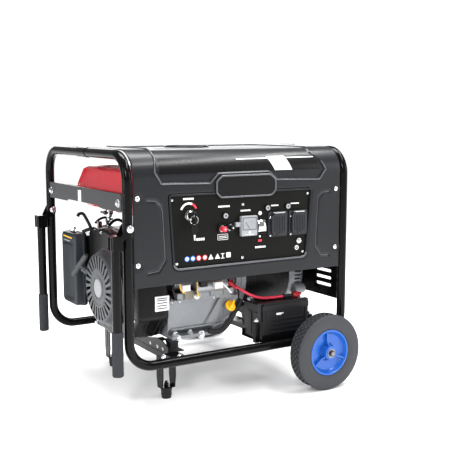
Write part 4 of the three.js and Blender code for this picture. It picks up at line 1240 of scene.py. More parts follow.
def voltmeter():
    low, high = node_box("voltmeter")
    x = middle("voltmeter").x
    outline = rectangle((low.x, high.x), (low.z, high.z), 4)
    shapes = [prism(outline, "y", (low.y, ON_PANEL), 1.6, 3)]
    shapes.append(prism(rectangle((low.x - 15, low.x), (334, 346), 2), "y", (ON_PANEL - 7, ON_PANEL), 0.8))
    piece("voltmeter_case", GREY_PLASTIC, shapes, ["voltmeter"])
    face = low.y
    window = prism(
        rectangle((low.x + 4, high.x - 4), (low.z + 17, high.z - 5), 2.5), "y", (face - 0.5, face + 1), 0.3
    )
    piece("voltmeter_window", METER_WINDOW, [window])
    frame_bars = []
    for u0, u1, v0, v1 in (
        (low.x + 3, high.x - 3, high.z - 5.5, high.z - 4),
        (low.x + 3, high.x - 3, low.z + 16, low.z + 17.5), (low.x + 3, low.x + 4.5, low.z + 16, high.z - 4),
        (high.x - 4.5, high.x - 3, low.z + 16, high.z - 4),
    ):
        frame_bars.append(block((u0, u1), (face - 1, face + 1), (v0, v1), 0.3))
    for k in range(9):
        angle = math.radians(140 - 12.5 * k)
        u, v = x + 17 * math.cos(angle), low.z + 22 + 17 * math.sin(angle)
        frame_bars.append(rod((u, face - 0.8, v), (u, face, v), 0.55, bevel=0, steps=8))
    needle = sweep([(x, face - 0.9, low.z + 19), (low.x + 13, face - 0.9, low.z + 36)], 0.5, 8)
    piece("voltmeter_frame", STARTER_GREY, frame_bars + [needle])
    lower = [
        disc(x, low.z + 9, 3.2, face - 0.9, 1.0), bar(x, low.z + 3.8, 26, 0.8, front=face - 0.3, depth=0.4)
    ]
    piece("voltmeter_trim", WHITE_PLASTIC, lower)


def main_breaker():
    x, z = MAIN_BREAKER
    rocker = []
    tilt = math.radians(8)
    for u in np.linspace(-13, 13, 15):
        crown = math.sqrt(max(0, 1 - (u / 15.5) ** 2))
        ring = []
        for k in range(21):
            v = -17 + 34 * k / 20
            ring.append((
                u, -11.6 * crown * math.cos(math.radians(v * 4.3)) ** 0.6 if abs(v) < 17 else -3,
                v * (0.96 + 0.04 * crown)
            ))
        ring += [(u, 4, 17), (u, 4, -17)]
        rocker.append(ring)
    shell = loft(rocker, 0.4)
    shell.transform(Matrix.Translation((x, 0, z)) @ Matrix.Rotation(-tilt, 4, "X"))
    piece("main_breaker_look", CHROME, [shell], ["main_breaker_rocker"], body="main_breaker")
    surround = prism(
        rectangle((x - 17, x + 17), (z - 22, z + 22), 4), "y", (PANEL_FACE - 1.6, PANEL_FACE), 0.6
    )
    opening = block((x - 14.2, x + 14.2), (-20, 20), (z - 19.2, z + 19.2), 0)
    piece("main_breaker_frame", PLASTIC, [cut(surround, opening)])


def sockets():
    for side, x in zip(("left", "right"), SOCKETS_X):
        low, high = node_box("socket_" + side)
        flange = prism(rectangle((low.x, high.x), (low.z, high.z), 6), "y", (ON_PANEL - 3, ON_PANEL), 0.9)
        barrel = [(19.5, -20), (23, -20), (23, 6.4), (22.4, 7), (20.2, 7), (19.5, 6.2)]
        shapes = [flange, lathe(barrel, (x, ON_PANEL, SOCKET_Z), FORWARD, 56, closed=True)]
        shapes.append(lathe(
            [(0, -20), (20.5, -20), (20.5, -14), (0, -14)], (x, ON_PANEL, SOCKET_Z), FORWARD, 48
        ))
        piece("socket_%s_look" % side, FLAP_PLASTIC, shapes, ["socket_" + side])
        pins = [disc(x + u, SOCKET_Z, 2.6, ON_PANEL + 13.2, 0.9, inner=1.6) for u in (-9.5, 9.5)]
        pins += [
            block(
                (x - 2.4, x + 2.4), (ON_PANEL - 2, ON_PANEL + 14), (SOCKET_Z + v, SOCKET_Z + v + 1.4), 0.3
            ) for v in (-19.2, 17.8)
        ]
        piece("socket_%s_contacts" % side, ZINC, pins)
        low = node_box("socket_flap_" + side)[0]
        back, front = ON_PANEL - 7.3, ON_PANEL - 10.5
        plate = prism(
            rounded(
                [
                    (x - 24, low.z, 15), (x + 24, low.z, 15), (x + 24, SOCKET_Z + 27, 10),
                    (x - 24, SOCKET_Z + 27, 10)
                ], 10
            ), "y", (front, back), 1.2, 3
        )
        ribs = []
        for k in range(-3, 4):
            reach = 24 - 1.6 * abs(k)
            ribs.append(block(
                (x + 5.4 * k - 1.1, x + 5.4 * k + 1.1), (front - 1.3, front + 0.5),
                (SOCKET_Z - reach, SOCKET_Z + 22), 0.5
            ))
        pivot_z, pivot_y = SOCKET_Z + 31, back
        hinge = [rod((x - 16, pivot_y, pivot_z), (x + 16, pivot_y, pivot_z), 3.4, bevel=0.6)]
        hinge += [
            block((x + u - 4, x + u + 4), (front + 0.4, back), (SOCKET_Z + 24, pivot_z), 0.8)
            for u in (-11, 0, 11)
        ]
        tab = block((x - 9, x + 9), (front - 2.4, front + 0.6), (low.z + 2, low.z + 6), 0.8)
        piece(
            "socket_flap_%s_look" % side, FLAP_PLASTIC, [plate, tab] + ribs + hinge,
            ["socket_flap_" + side], body="socket_flap_" + side
        )
        pin = [rod((x - 18.5, pivot_y, pivot_z), (x + 18.5, pivot_y, pivot_z), 1.5, bevel=0.3, steps=16)]
        pin.append(block(
            (x - 15, x + 15), (pivot_y - 4.1, pivot_y - 3.3), (pivot_z - 1.2, pivot_z + 1.2), 0.3
        ))
        piece("socket_flap_%s_pin" % side, ZINC, pin, body="socket_flap_" + side)


# Tank, its brackets and the end guard


def tank_ring(xs, ys, inset, radius, z):
    return [
        (u, v, z)
        for u, v in rectangle((xs[0] + inset, xs[1] - inset), (ys[0] + inset, ys[1] - inset), radius, 8)
    ]


def fuel_tank():
    """Two pressed halves seamed at the flange; the upper one slopes in and is crowned."""
    high = node_box("fuel_tank")[1]
    xs, ys, seam = (38, 626), (36, 434), 424
    top = high.z - 13
    upper = [
        (0, 22, seam + 3), (0.6, 22, seam + 7), (2.5, 23, seam + 15), (8, 25, seam + 34),
        (12, 28, seam + 50)
    ]
    for k in range(1, 13):
        angle = math.radians(7.5 * k)
        upper.append((
            12 + 6 * math.sin(angle) + 46 * (k / 12) ** 2, 29 + 2.8 * k,
            seam + 50 + (top - seam - 50) * math.sin(angle)
        ))
    shapes = [loft([tank_ring(xs, ys, *level) for level in upper])]
    bottom = 372
    lower_xs, lower_ys = (50, 610), (55, 414)
    lower = [
        (24, 22, bottom - 6), (14, 24, bottom - 5), (6, 26, bottom - 1), (2, 27, bottom + 7),
        (0, 28, bottom + 18), (0, 28, seam + 2)
    ]
    shapes.append(loft([tank_ring(lower_xs, lower_ys, *level) for level in lower]))
    flange = rectangle((34, 630), (30, 433), 26, 8)
    shapes.append(prism(flange, "z", (seam, seam + 4), 1.2))
    for x in (75, 560):
        tab = [(x, 428), (x + 50, 428), (x + 42, 500), (x + 36, 508), (x + 14, 508), (x + 8, 500)]
        shapes.append(prism(tab, "z", (seam, seam + 4), 1.0))
    for x in (150, 470):
        groove = [(x + u, v, top - 2.6) for u, v in rectangle((0, 60), (90, 330), 20, 6)]
        shapes.append(loft([groove, [(x + 30 + (u - x - 30) * 0.8, v, top + 0.7) for u, v, _ in groove]]))
    neck = [(22, -22), (26, -22), (26, 10), (27.4, 11), (27.4, 13), (22, 13)]
    shapes.append(lathe(neck, (*CAP, high.z - 13), UP, 48, closed=True))
    tap_x, tap_y = 100, 340
    shapes.append(rod((tap_x, tap_y, bottom - 12), (tap_x, tap_y, bottom + 3), 11, bevel=1))
    piece("fuel_tank_look", TANK_RED, shapes, ["fuel_tank"])
    bolts = []
    for x in (100, 585):
        bolts.append(hex_bolt((x, 494, seam + 4), UP, 5.5))
    for x in (37, 627):
        bolts += [hex_bolt((x + (4 if x < 100 else -4), y, seam + 4), UP, 4) for y in (60, 400)]
    tap = [
        rod((tap_x, tap_y, bottom - 33), (tap_x, tap_y, bottom - 11), 8.4, bevel=1),
        rod((tap_x - 9, tap_y, bottom - 20), (tap_x + 10, tap_y, bottom - 20), 6.4, bevel=1)
    ]
    piece("tank_bolts", ZINC, bolts + tap)


def fuel_cap():
    low, high = node_box("fuel_cap")
    tall = high.z - low.z
    profile = [(0, 0), (35, 0), (36.6, 2), (36.6, 17), (34.6, 20), (31, 21.6), (0, 22.4)]
    shapes = [lathe(profile, (*CAP, low.z), UP, 72)]
    for u, v in around(30, 36.2, *CAP):
        shapes.append(rod((u, v, low.z + 2), (u, v, low.z + 17.5), 1.7, 1.3, bevel=0.5, steps=10))
    grip = [
        (CAP[0] - 30, low.z + 20), (CAP[0] + 30, low.z + 20), (CAP[0] + 22, low.z + tall),
        (CAP[0] - 22, low.z + tall)
    ]
    shapes.append(prism(grip, "y", (CAP[1] - 5, CAP[1] + 5), 1.8, 3))
    piece("fuel_cap_look", PLASTIC, shapes, ["fuel_cap"], body="fuel_cap")


def tank_brackets():
    for side, way in (("left", -1), ("right", 1)):
        low, high = node_box("tank_bracket_" + side)
        plate = (low.x, low.x + 3) if way < 0 else (high.x - 3, high.x)
        outline = rounded([
            (low.y, 391, 4), (low.y + 6, 387, 3), (150, 387, 6), (162, 392, 6), (372, 392, 6),
            (384, 387, 6), (high.y - 6, 387, 3), (high.y, 391, 4), (high.y, high.z - 2, 3),
            (low.y, high.z - 2, 3),
        ])
        shapes = [prism(outline, "x", plate, 0.8)]
        shelf = (plate[1] - 1, high.x) if way < 0 else (low.x, plate[0] + 1)
        shapes.append(block(shelf, (low.y, high.y), (420.7, 423.7), 0.9))
        outer, inner = plate if way < 0 else plate[::-1]
        lip = inner - way * 4
        fold = [(outer, high.z - 3), (outer, high.z), (lip, high.z), (lip, high.z - 2), (inner, high.z - 3)]
        rings = [[(u, y, v) for u, v in fold] for y in (low.y + 2, high.y - 2)]
        shapes.append(loft(rings, 0.5))
        piece("tank_bracket_%s_look" % side, BRACKET_PAINT, shapes, ["tank_bracket_" + side])
        face = low.x if way < 0 else high.x
        bolts = [hex_bolt((face, y, 408), (way, 0, 0), 7.5, 5) for y in (33, high.y - 17)]
        piece("tank_bracket_%s_bolts" % side, ZINC, bolts)
        if way < 0:
            label = block((face - 0.4, face + 0.2), (low.y + 258, low.y + 279), (390, 423), 0.1)
            piece("tank_bracket_label", WHITE_PRINT, [label])


def end_guard():
    """Painted sheet with three columns of pressed louvre slots and four beads across it, held by a bolt at
    each corner.
    """
    low, high = node_box("end_guard")
    plate = prism(rectangle((low.y, high.y), (low.z, high.z), 9), "x", (low.x, high.x - 1.2), 0.6)
    slots, hoods = [], []
    for column in range(3):
        for row in range(6):
            y, z = low.y + 32 + column * 190, low.z + 30 + row * 21
            slots.append(prism(rectangle((y, y + 67), (z, z + 8), 3.9), "x", (low.x - 10, high.x + 10), 0))
            hoods.append((y, z))
    shapes = [cut(plate, *slots)]
    for y, z in hoods:
        blade = [
            (low.x + 0.5, z + 9.4), (high.x - 0.2, z + 9.4), (high.x + 0.2, z + 8.2),
            (high.x - 0.4, z + 7.4), (low.x + 0.5, z + 8.2)
        ]
        shapes.append(loft([[(u, s, v) for u, v in blade] for s in (y - 1, y + 68)], 0.3))
    for z in (low.z + 210, low.z + 232, low.z + 254, low.z + 276):
        shapes.append(sweep([(high.x - 1, low.y + 30, z), (high.x - 1, high.y - 30, z)], 1.8, 10, 0.5))
    piece("end_guard_look", FRAME_PAINT, shapes, ["end_guard"])
    bolts = [
        hex_bolt((high.x - 1.2, y, z), RIGHT, 5) for y in (low.y + 12, high.y - 12)
        for z in (low.z + 18, high.z - 18)
    ]
    piece("end_guard_bolts", ZINC, bolts)


# Engine

CRANK_Y, CRANK_Z = middle("recoil_pulley").y, middle("recoil_pulley").z
ENGINE_LEFT, ENGINE_RIGHT = node_box("crankcase")[0].x, node_box("crankcase")[1].x
BASE_LOW = node_box("rubber_mount_front")[1].z + 0.3
FILLER_MOUTH = Vector((332, 69, 106))
FILLER_OUT = Vector((0.15, -0.78, 0.6)).normalized()


def wire(points, radius, sides=12):
    return sweep(smooth_route(points), radius, sides)


def reaches(shape, x, z):
    """True for a shape that has a corner to the right of x and one below z."""
    return max(v.co.x for v in shape.vertices) > x and min(v.co.z for v in shape.vertices) < z


def crankcase():
    """Sand-cast case: ribbed front wall, ledges, bolted side cover, feet and the oil filler."""
    outline = rounded([
        (84, 60, 10), (100, 39, 8), (330, 39, 8), (345, 60, 8), (345, 235, 6), (192, 235, 10),
        (184, 150, 10), (88, 138, 12),
    ])
    shapes = [prism(outline, "x", (ENGINE_LEFT + 1, ENGINE_RIGHT - 1), 3.2, 3)]
    shapes.append(block((ENGINE_LEFT + 2, ENGINE_RIGHT - 8), (62, 362), (BASE_LOW, BASE_LOW + 9), 2.2))
    front = 84
    shapes.append(block((ENGINE_LEFT + 4, ENGINE_RIGHT - 60), (front - 5, front + 30), (131, 139), 2.4))
    shapes.append(block((ENGINE_LEFT + 8, ENGINE_RIGHT - 40), (front - 6, front + 20), (58, 63.5), 2.0))
    for x in (ENGINE_LEFT + 12, ENGINE_LEFT + 34, 290):
        shapes.append(rod((x, front - 2, 135), (x, front + 30, 146), 7.5, bevel=1.5))
    for x0, x1 in ((304, 262), (322, 296)):
        shapes.append(prism(
            [(x0, 128), (x0 + 5, 128), (x1 + 5, 64), (x1, 64)], "y", (front - 5, front + 6), 1.6
        ))
    shapes.append(prism(
        rounded([(256, 62, 4), (372, 62, 6), (372, 132, 20), (316, 140, 14), (300, 118, 14)]), "y",
        (front - 3, front + 12), 2.6
    ))
    neck = [
        (15, -44), (13.5, -26), (12.4, -12), (12.4, -6), (15.6, -5), (15.6, -0.4), (9.6, -0.4), (9.6, -20),
        (9.6, -44)
    ]
    shapes.append(lathe(neck, FILLER_MOUTH, FILLER_OUT, 40, closed=True))
    for x in (ENGINE_LEFT + 16, ENGINE_LEFT + 60):
        shapes.append(rod((x, 72, BASE_LOW + 6), (x, 72, BASE_LOW + 15), 10, 8.5, bevel=1.5))
    bolts = []
    for k in range(7):
        angle = math.radians(-40 + 45 * k)
        y, z = CRANK_Y + 84 * math.cos(angle), 128 + 74 * math.sin(angle)
        if 92 < y < 338 and 48 < z < 226:
            shapes.append(rod((ENGINE_RIGHT - 6, y, z), (ENGINE_RIGHT, y, z), 9, bevel=1.2))
            bolts.append(hex_bolt((ENGINE_RIGHT, y, z), RIGHT, 4.5))
    shapes.append(block((ENGINE_LEFT + 26, ENGINE_RIGHT - 20), (79, 96), (137, 156), 4.0))
    for x in (ENGINE_LEFT + 44, 276, 318):
        shapes.append(block((x, x + 5), (76, 90), (139, 162), 1.6))
    underside = [(272, 20), (400, 20), (400, 96), (356, 90), (334, 74), (306, 52), (288, 44), (272, 42)]
    shapes = [
        cut(shape, prism(underside, "y", (40, 380), 0)) if reaches(shape, 272, 96) else shape
        for shape in shapes
    ]
    piece("crankcase_look", CAST, shapes, ["crankcase"])

    for x in (ENGINE_LEFT + 16, ENGINE_LEFT + 60):
        bolts.append(hex_bolt((x, 72, BASE_LOW + 15), (0, -0.25, 1), 5.2))
    for x in (ENGINE_LEFT + 12, ENGINE_LEFT + 34, 290):
        bolts.append(hex_bolt((x, front - 2, 135), (0, -1, 0.35), 4.6))
    bolts.append(hex_bolt((240, 64, 41), (0, -1, 0.1), 8.0, 6))
    bolts.append(hex_bolt((172, 64, 41), (0, -1, 0.1), 5.6, 5))
    piece("engine_bolts", ZINC, bolts)


def dipstick():
    mouth, out = FILLER_MOUTH, FILLER_OUT
    profile = [(0, 0.3), (14, 0.3), (14.6, 1.2), (14.6, 6.5), (13.2, 8.2), (0, 8.6)]
    shapes = [lathe(profile, mouth, out, 48)]
    turn = out.to_track_quat("Z", "Y")
    for u, v in around(20, 14.4, 0, 0):
        foot = mouth + turn @ Vector((u, v, 1.4))
        shapes.append(rod(foot, foot + out * 4.8, 0.9, bevel=0.2, steps=8))
    wing = prism(
        rounded([(-14, 0, 1), (14, 0, 1), (15, 9, 4), (8, 11.4, 4), (-8, 11.4, 4), (-15, 9, 4)]), "y",
        (-2.8, 2.8), 1.1
    )
    on_mouth = Matrix.Translation(mouth + out * 8.0) @ turn.to_matrix().to_4x4()
    wing.transform(on_mouth @ Matrix.Rotation(math.radians(40), 4, "Z"))
    shapes += [wing, rod(mouth - out * 74, mouth + out, 2.8, bevel=0.6, steps=16)]
    piece("dipstick_look", YELLOW, shapes, ["dipstick"], body="dipstick")


CYLINDER_TILT = math.radians(24.7)
CYLINDER_FOOT = (345.3, 180)


def on_cylinder(along, across):
    """(y, z) at a distance along the cylinder's axis and across it."""
    c, s = math.cos(CYLINDER_TILT), math.sin(CYLINDER_TILT)
    return (CYLINDER_FOOT[0] + along * c - across * s, CYLINDER_FOOT[1] + along * s + across * c)


def slanted_block(xs, alongs, acrosses, radius=0.0, bevel=1.0):
    corners = [
        (alongs[0], acrosses[0]), (alongs[1], acrosses[0]), (alongs[1], acrosses[1]),
        (alongs[0], acrosses[1])
    ]
    outline = rounded([(*on_cylinder(a, c), radius) for a, c in corners])
    return prism(outline, "x", xs, bevel)


def cylinder_head():
    xs = (170, 316)
    foot = prism(
        [(346, 114), on_cylinder(36, -58), on_cylinder(36, 58), (346, 244)], "x", (xs[0] + 4, xs[1] - 4),
        2.4
    )
    shapes = [foot, slanted_block((xs[0] + 22, xs[1] - 22), (30, 112), (-44, 44), 8)]
    for k in range(9):
        along = 40 + 8 * k
        shapes.append(slanted_block(xs, (along, along + 2.8), (-60, 60), 1.2, 1.0))
    shapes.append(slanted_block((xs[0] + 4, xs[1] - 4), (110, 122), (-58, 58), 5, 2.0))
    piece("cylinder_look", CAST, shapes, ["cylinder_head"])
    cover = [
        slanted_block((xs[0] + 12, xs[1] - 12), (122.4, 149), (-50, 50), 16, 3.0),
        slanted_block((xs[0] + 6, xs[1] - 6), (121, 126), (-55, 55), 8, 1.2)
    ]
    piece("rocker_cover", STARTER_GREY, cover)
    bolts = []
    c, s = math.cos(CYLINDER_TILT), math.sin(CYLINDER_TILT)
    for x in (xs[0] + 14, xs[1] - 14):
        for across in (-47, 47):
            y, z = on_cylinder(126, across)
            bolts.append(hex_bolt((x, y, z), (0, c, s), 4.6))
    y, z = on_cylinder(112, 20)
    bolts.append(rod((xs[0] - 12, y, z), (xs[0] + 6, y, z), 5.5, bevel=0.8, steps=6))
    piece("cylinder_bolts", ZINC, bolts)
    boot = [rod((xs[0] - 22, y, z), (xs[0] - 6, y, z), 8.5, 9.5, bevel=2.0)]
    boot.append(wire(
        [
            (xs[0] - 20, y, z), (xs[0] - 32, y - 4, z + 16), (xs[0] - 26, y - 60, z + 36), (152, 330, 300),
            (135, 300, 306)
        ], 3.6
    ))
    piece("spark_plug_lead", RUBBER, boot)


SHROUD_OUTLINE = [
    (68, 95, 25), (120, 40, 30), (240, 18, 40), (330, 35, 30), (385, 90, 30), (400, 300, 20),
    (300, 318, 20), (150, 300, 30), (80, 240, 25)
]


def shrunk(corners, amount):
    """The outline's corners, moved towards its middle."""
    cu = sum(c[0] for c in corners) / len(corners)
    cv = sum(c[1] for c in corners) / len(corners)
    result = []
    for u, v, radius in corners:
        away = Vector((u - cu, v - cv))
        away *= 1 - amount / away.length
        result.append((cu + away.x, cv + away.y, radius))
    return result


def fan_shroud():
    low, high = node_box("fan_shroud")
    rings = []
    for x, inset in (
        (low.x, 12), (low.x + 4, 5), (low.x + 12, 1), (low.x + 22, 0), (high.x - 20, 0), (high.x - 6, 1.5),
        (high.x - 1, 5), (high.x, 8)
    ):
        rings.append([(x, u, v) for u, v in rounded(shrunk(SHROUD_OUTLINE, inset), 8)])
    body = cut(
        loft(rings),
        rod((low.x - 20, CRANK_Y, CRANK_Z), (low.x + 60, CRANK_Y, CRANK_Z), 98, bevel=0, steps=96)
    )
    shapes = [body]
    for x in (low.x + 30, high.x - 26):
        band = [
            [(x + u, a, b) for a, b in rounded(shrunk(SHROUD_OUTLINE, inset), 8)]
            for u, inset in ((-2.4, 0.4), (-1.2, -1.2), (1.2, -1.2), (2.4, 0.4))
        ]
        shapes.append(loft(band))
    inner = lathe(
        [(34, 0), (97, 0), (97, 3), (34, 3)], (low.x + 40, CRANK_Y, CRANK_Z), RIGHT, 64, closed=True
    )
    shapes.append(inner)
    piece("fan_shroud_look", PLASTIC, shapes, ["fan_shroud"])
    label = block((106, 147), (68.8, 69.8), (118, 157), 0.1)
    piece("shroud_label", WHITE_PRINT, [label])
    marks = [block((112, 141), (68.2, 68.9), (z, z + 2.2), 0) for z in (124, 131, 138, 145, 150)]
    piece("shroud_label_lines", FLAP_PLASTIC, marks)
    bolts = []
    for y, z in ((92, 96), (92, 236), (300, 302), (384, 120)):
        bolts.append(hex_bolt((low.x + 3, y, z), LEFT, 4.6))
    piece("shroud_bolts", ZINC, bolts)


RECOIL_SLOTS = 26


def recoil_starter():
    face = node_box("recoil_cover")[0].x
    centre = (face, CRANK_Y, CRANK_Z)
    cup = [
        (0, 0), (29, 0), (30, -1.2), (34, -1.2), (35, 0), (46, 0), (47, -0.8), (49, -0.8), (50, 0), (84, 0),
        (90, 0.8), (94, 3.4), (97.5, 12), (104, 25.4), (104, 27), (100.5, 27), (94, 13), (91, 5), (86, 2.6),
        (0, 2.6),
    ]
    body = lathe(cup, centre, RIGHT, 104)
    slots = []
    for i in range(RECOIL_SLOTS):
        outline = rounded([(-2.9, 53, 1.6), (2.9, 53, 1.6), (11.6, 87.5, 2.8), (0.2, 87.5, 2.8)], 3)
        slot = prism(outline, "x", (face - 5, face + 8), 0)
        slots.append(turned_about(moved(slot, (0, CRANK_Y, CRANK_Z)), "X", centre, 360 * i / RECOIL_SLOTS))
    shapes = [cut(body, *slots)]
    lip = [(100, 24), (104.6, 24), (106, 25), (106, 26.6), (104.6, 27.4), (100, 27.4)]
    shapes.append(lathe(lip, centre, RIGHT, 96, closed=True))
    start, out = PULL_START, PULL_OUT
    guide = [(8.6, -52), (8.2, -20), (9.4, -18.4), (9.4, -13.6), (7.6, -12), (3.2, -12), (3.2, -52)]
    shapes.append(lathe(guide, start, out, 36, closed=True))
    piece("recoil_cover_look", STARTER_GREY, shapes, ["recoil_cover"])
    cap = [disc_x(face, 25, 2.2), disc_x(face, 21, 2.8)]
    piece("recoil_hub_cap", GREY_PLASTIC, cap)
    bolts = [
        hex_bolt((face + 24, CRANK_Y + 99 * math.cos(a), CRANK_Z + 99 * math.sin(a)), LEFT, 4.2)
        for a in (0.5, 2.6, 3.9, 5.6)
    ]
    piece("recoil_bolts", ZINC, bolts)


def moved(shape, by):
    shape.transform(Matrix.Translation(by))
    return shape


def disc_x(face, radius, height):
    """Low round cap on the recoil cover's hub."""
    return lathe(
        [(0, 0), (radius, 0), (radius, height * 0.5), (radius - 1.4, height), (0, height)],
        (face + 0.4, CRANK_Y, CRANK_Z), LEFT, 56
    )


PULL_START = Vector((20, 368, 205))  # middle of the starter grip
PULL_OUT = Vector((-0.55, 0.495, 0.67)).normalized()
GRIP_BAR = Vector((0.25, -0.62, 0.74)).normalized()


def pull_grip():
    ends = [PULL_START + GRIP_BAR * d for d in np.linspace(-41.8, 41.8, 33)]
    shape = sweep(
        ends,
        lambda t: 8.4 * min(1, 0.72 + 2.6 * min(t, 1 - t)) - 0.5 * (0.5 + 0.5 * math.cos(
            t * math.pi * 14
        )) * (0.12 < t < 0.88), 24, bevel=0
    )
    stem = lathe(
        [(0, -11.6), (4.6, -11.6), (5.8, -10), (6, -4), (7.6, 2), (0, 4)], PULL_START, PULL_OUT, 32
    )
    piece(
        "recoil_grip_look", FOAM_DARK, [shape, stem], ["recoil_grip"], body="recoil_grip"
    )
    route = [PULL_START + PULL_OUT * d for d in np.linspace(-44, -7, 60)]
    rope = piece("starter_rope", ROPE, [sweep(route, 2.0, 12)], body=None)
    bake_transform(rope)


def air_filter():
    """Box in two halves with a toggle clip on top, a drain stub below and a stripe on its end."""
    low, high = node_box("air_filter_cover")
    outline = rectangle((low.y, high.y), (low.z, high.z), 15, 8)
    rings = []
    cy, cz = middle("air_filter_cover").y, middle("air_filter_cover").z
    for x, inset in (
        (high.x, 0), (high.x - 5, 0), (high.x - 6, 1.6), (low.x + 8, 2.6), (low.x + 3, 4.2),
        (low.x + 0.8, 7), (low.x, 11)
    ):
        half_y, half_z = (high.y - low.y) / 2, (high.z - low.z) / 2
        rings.append([
            (x, cy + (u - cy) * (1 - inset / half_y), cz + (v - cz) * (1 - inset / half_z))
            for u, v in outline
        ])
    shapes = [loft(rings)]
    inner = rectangle((low.y + 16, high.y - 16), (low.z + 18, high.z - 34), 9, 6)
    steps = ((low.x + 1, 1.02), (low.x, 1.0), (low.x, 0.97), (low.x + 1, 0.95))
    shapes.append(loft([
        [(x, cy + (u - cy) * k, cz - 8 + (v - cz + 8) * k) for u, v in inner] for x, k in steps
    ]))
    for k in range(5):
        z = low.z + 36 + 34 * k
        shapes.append(block((low.x - 0.2, low.x + 1.5), (low.y + 24, high.y - 24), (z, z + 2.4), 0.5))
    piece("air_filter_cover_look", BOX_PLASTIC, shapes, ["air_filter_cover"])
    low_base, high_base = node_box("air_filter_base")
    outline = rectangle((low_base.y, high_base.y), (low_base.z, high_base.z), 12, 8)
    base = [prism(outline, "x", (low_base.x, high_base.x), 2.4)]
    rim = rectangle((low.y + 1, high.y - 1), (low.z + 1, high.z - 1), 14, 8)
    base.append(prism(rim, "x", (low_base.x, low_base.x + 6), 1.0))
    base.append(rod((80, cy, low_base.z + 2), (80, cy, low_base.z - 8), 9, 7, bevel=1))
    for z in (low.z + 60, low.z + 120):
        base.append(block(
            (low_base.x + 8, high_base.x - 4), (low_base.y - 2.4, low_base.y + 2), (z, z + 6), 0.8
        ))
    piece("air_filter_base_look", PLASTIC, base, ["air_filter_base"])
    top = high.z
    clip = [block((low.x + 12, low.x + 24), (cy - 17, cy + 17), (top - 1, top + 1.4), 0.6)]
    clip.append(rod((low.x + 18, cy, top), (low.x + 18, cy, top + 12), 4.2, bevel=0.8))
    for way in (-1, 1):
        wing = rounded([
            (cy + way * 2, top + 4, 2), (cy + way * 17, top + 7, 4), (cy + way * 18, top + 14, 4),
            (cy + way * 5, top + 13, 3)
        ])
        clip.append(prism(wing, "x", (low.x + 16.6, low.x + 19.4), 0.6))
    clip.append(hex_bolt((low.x + 40, cy - 34, top - 1), UP, 4))
    piece("air_filter_clip", CHROME, clip)
    stripe = prism(
        [
            (low.y + 26, top - 15), (low.y + 26, top - 18.6), (high.y - 22, top - 16.6),
            (high.y - 22, top - 13)
        ], "x", (low.x - 0.4, low.x + 0.6), 0
    )
    piece("air_filter_stripe", WIRE_YELLOW, [stripe])
    strap = block((low.x - 0.6, low.x + 0.6), (low.y + 40, low.y + 86), (top - 28, top - 24.6), 0.1)
    piece("air_filter_mark", GREY_PLASTIC, [strap])


def carburettor():
    low, high = node_box("carburettor")
    cy = middle("carburettor").y
    outline = rectangle((cy - 21, cy + 21), (212, 259), 8, 8)
    shapes = [prism(outline, "x", (low.x + 6, high.x - 6), 1.6)]
    for x in (low.x, high.x - 6):
        shapes.append(prism(rectangle((low.y, high.y), (211, 260), 12, 8), "x", (x, x + 6), 1.2))
    bowl = [(0, 182), (14, 182), (18.6, 184), (20.4, 189), (20.6, 206), (21, 207), (21, 211.5), (0, 212)]
    shapes.append(lathe(bowl, (139, cy, 0), UP, 48))
    piece("carburettor_look", CAST, shapes, ["carburettor"])
    screws = [
        hex_bolt((139, cy, 183), DOWN, 4.4), dome_screw((128, 418.6, 228), FORWARD, 3.2),
        dome_screw((150, 418.6, 222), FORWARD, 3.2)
    ]
    screws += [
        rod((152, 418.8, 250), (152, 411, 250), 3, bevel=0.5, steps=6),
        rod((125, cy - 6, 259), (125, cy - 6, 268), 2.2, bevel=0.4)
    ]
    piece("carburettor_jets", BRASS, screws)
    links = [
        wire([(150, 425, 264), (150, 420, 276), (156, 380, 284), (160, 340, 262), (158, 300, 240)], 1.5),
        wire([(118, cy - 4, 268), (112, 430, 282), (96, 420, 292), (84, 404, 286)], 1.5)
    ]
    bowl = lathe(
        [(0, 286), (7, 286), (9.4, 289), (9.4, 303), (10.6, 304), (10.6, 309), (6, 311), (0, 312)],
        (108, 392, 0), UP, 32
    )
    links += [
        bowl, block((98, 130), (400.6, 403.4), (256, 264), 0.8),
        block((86, 98), (386, 398), (298, 322), 1.4)
    ]
    plate = prism(
        rounded([(118, 262, 2), (160, 262, 2), (166, 274, 4), (140, 284, 8), (114, 274, 4)]), "y",
        (430, 432), 0.5
    )
    piece("throttle_linkage", ZINC, links + [plate])


def keep(node, material):
    """A CAD node whose shape is right stays, with a better finish."""
    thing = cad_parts[node]
    for place in thing.material_slots:
        place.material = material


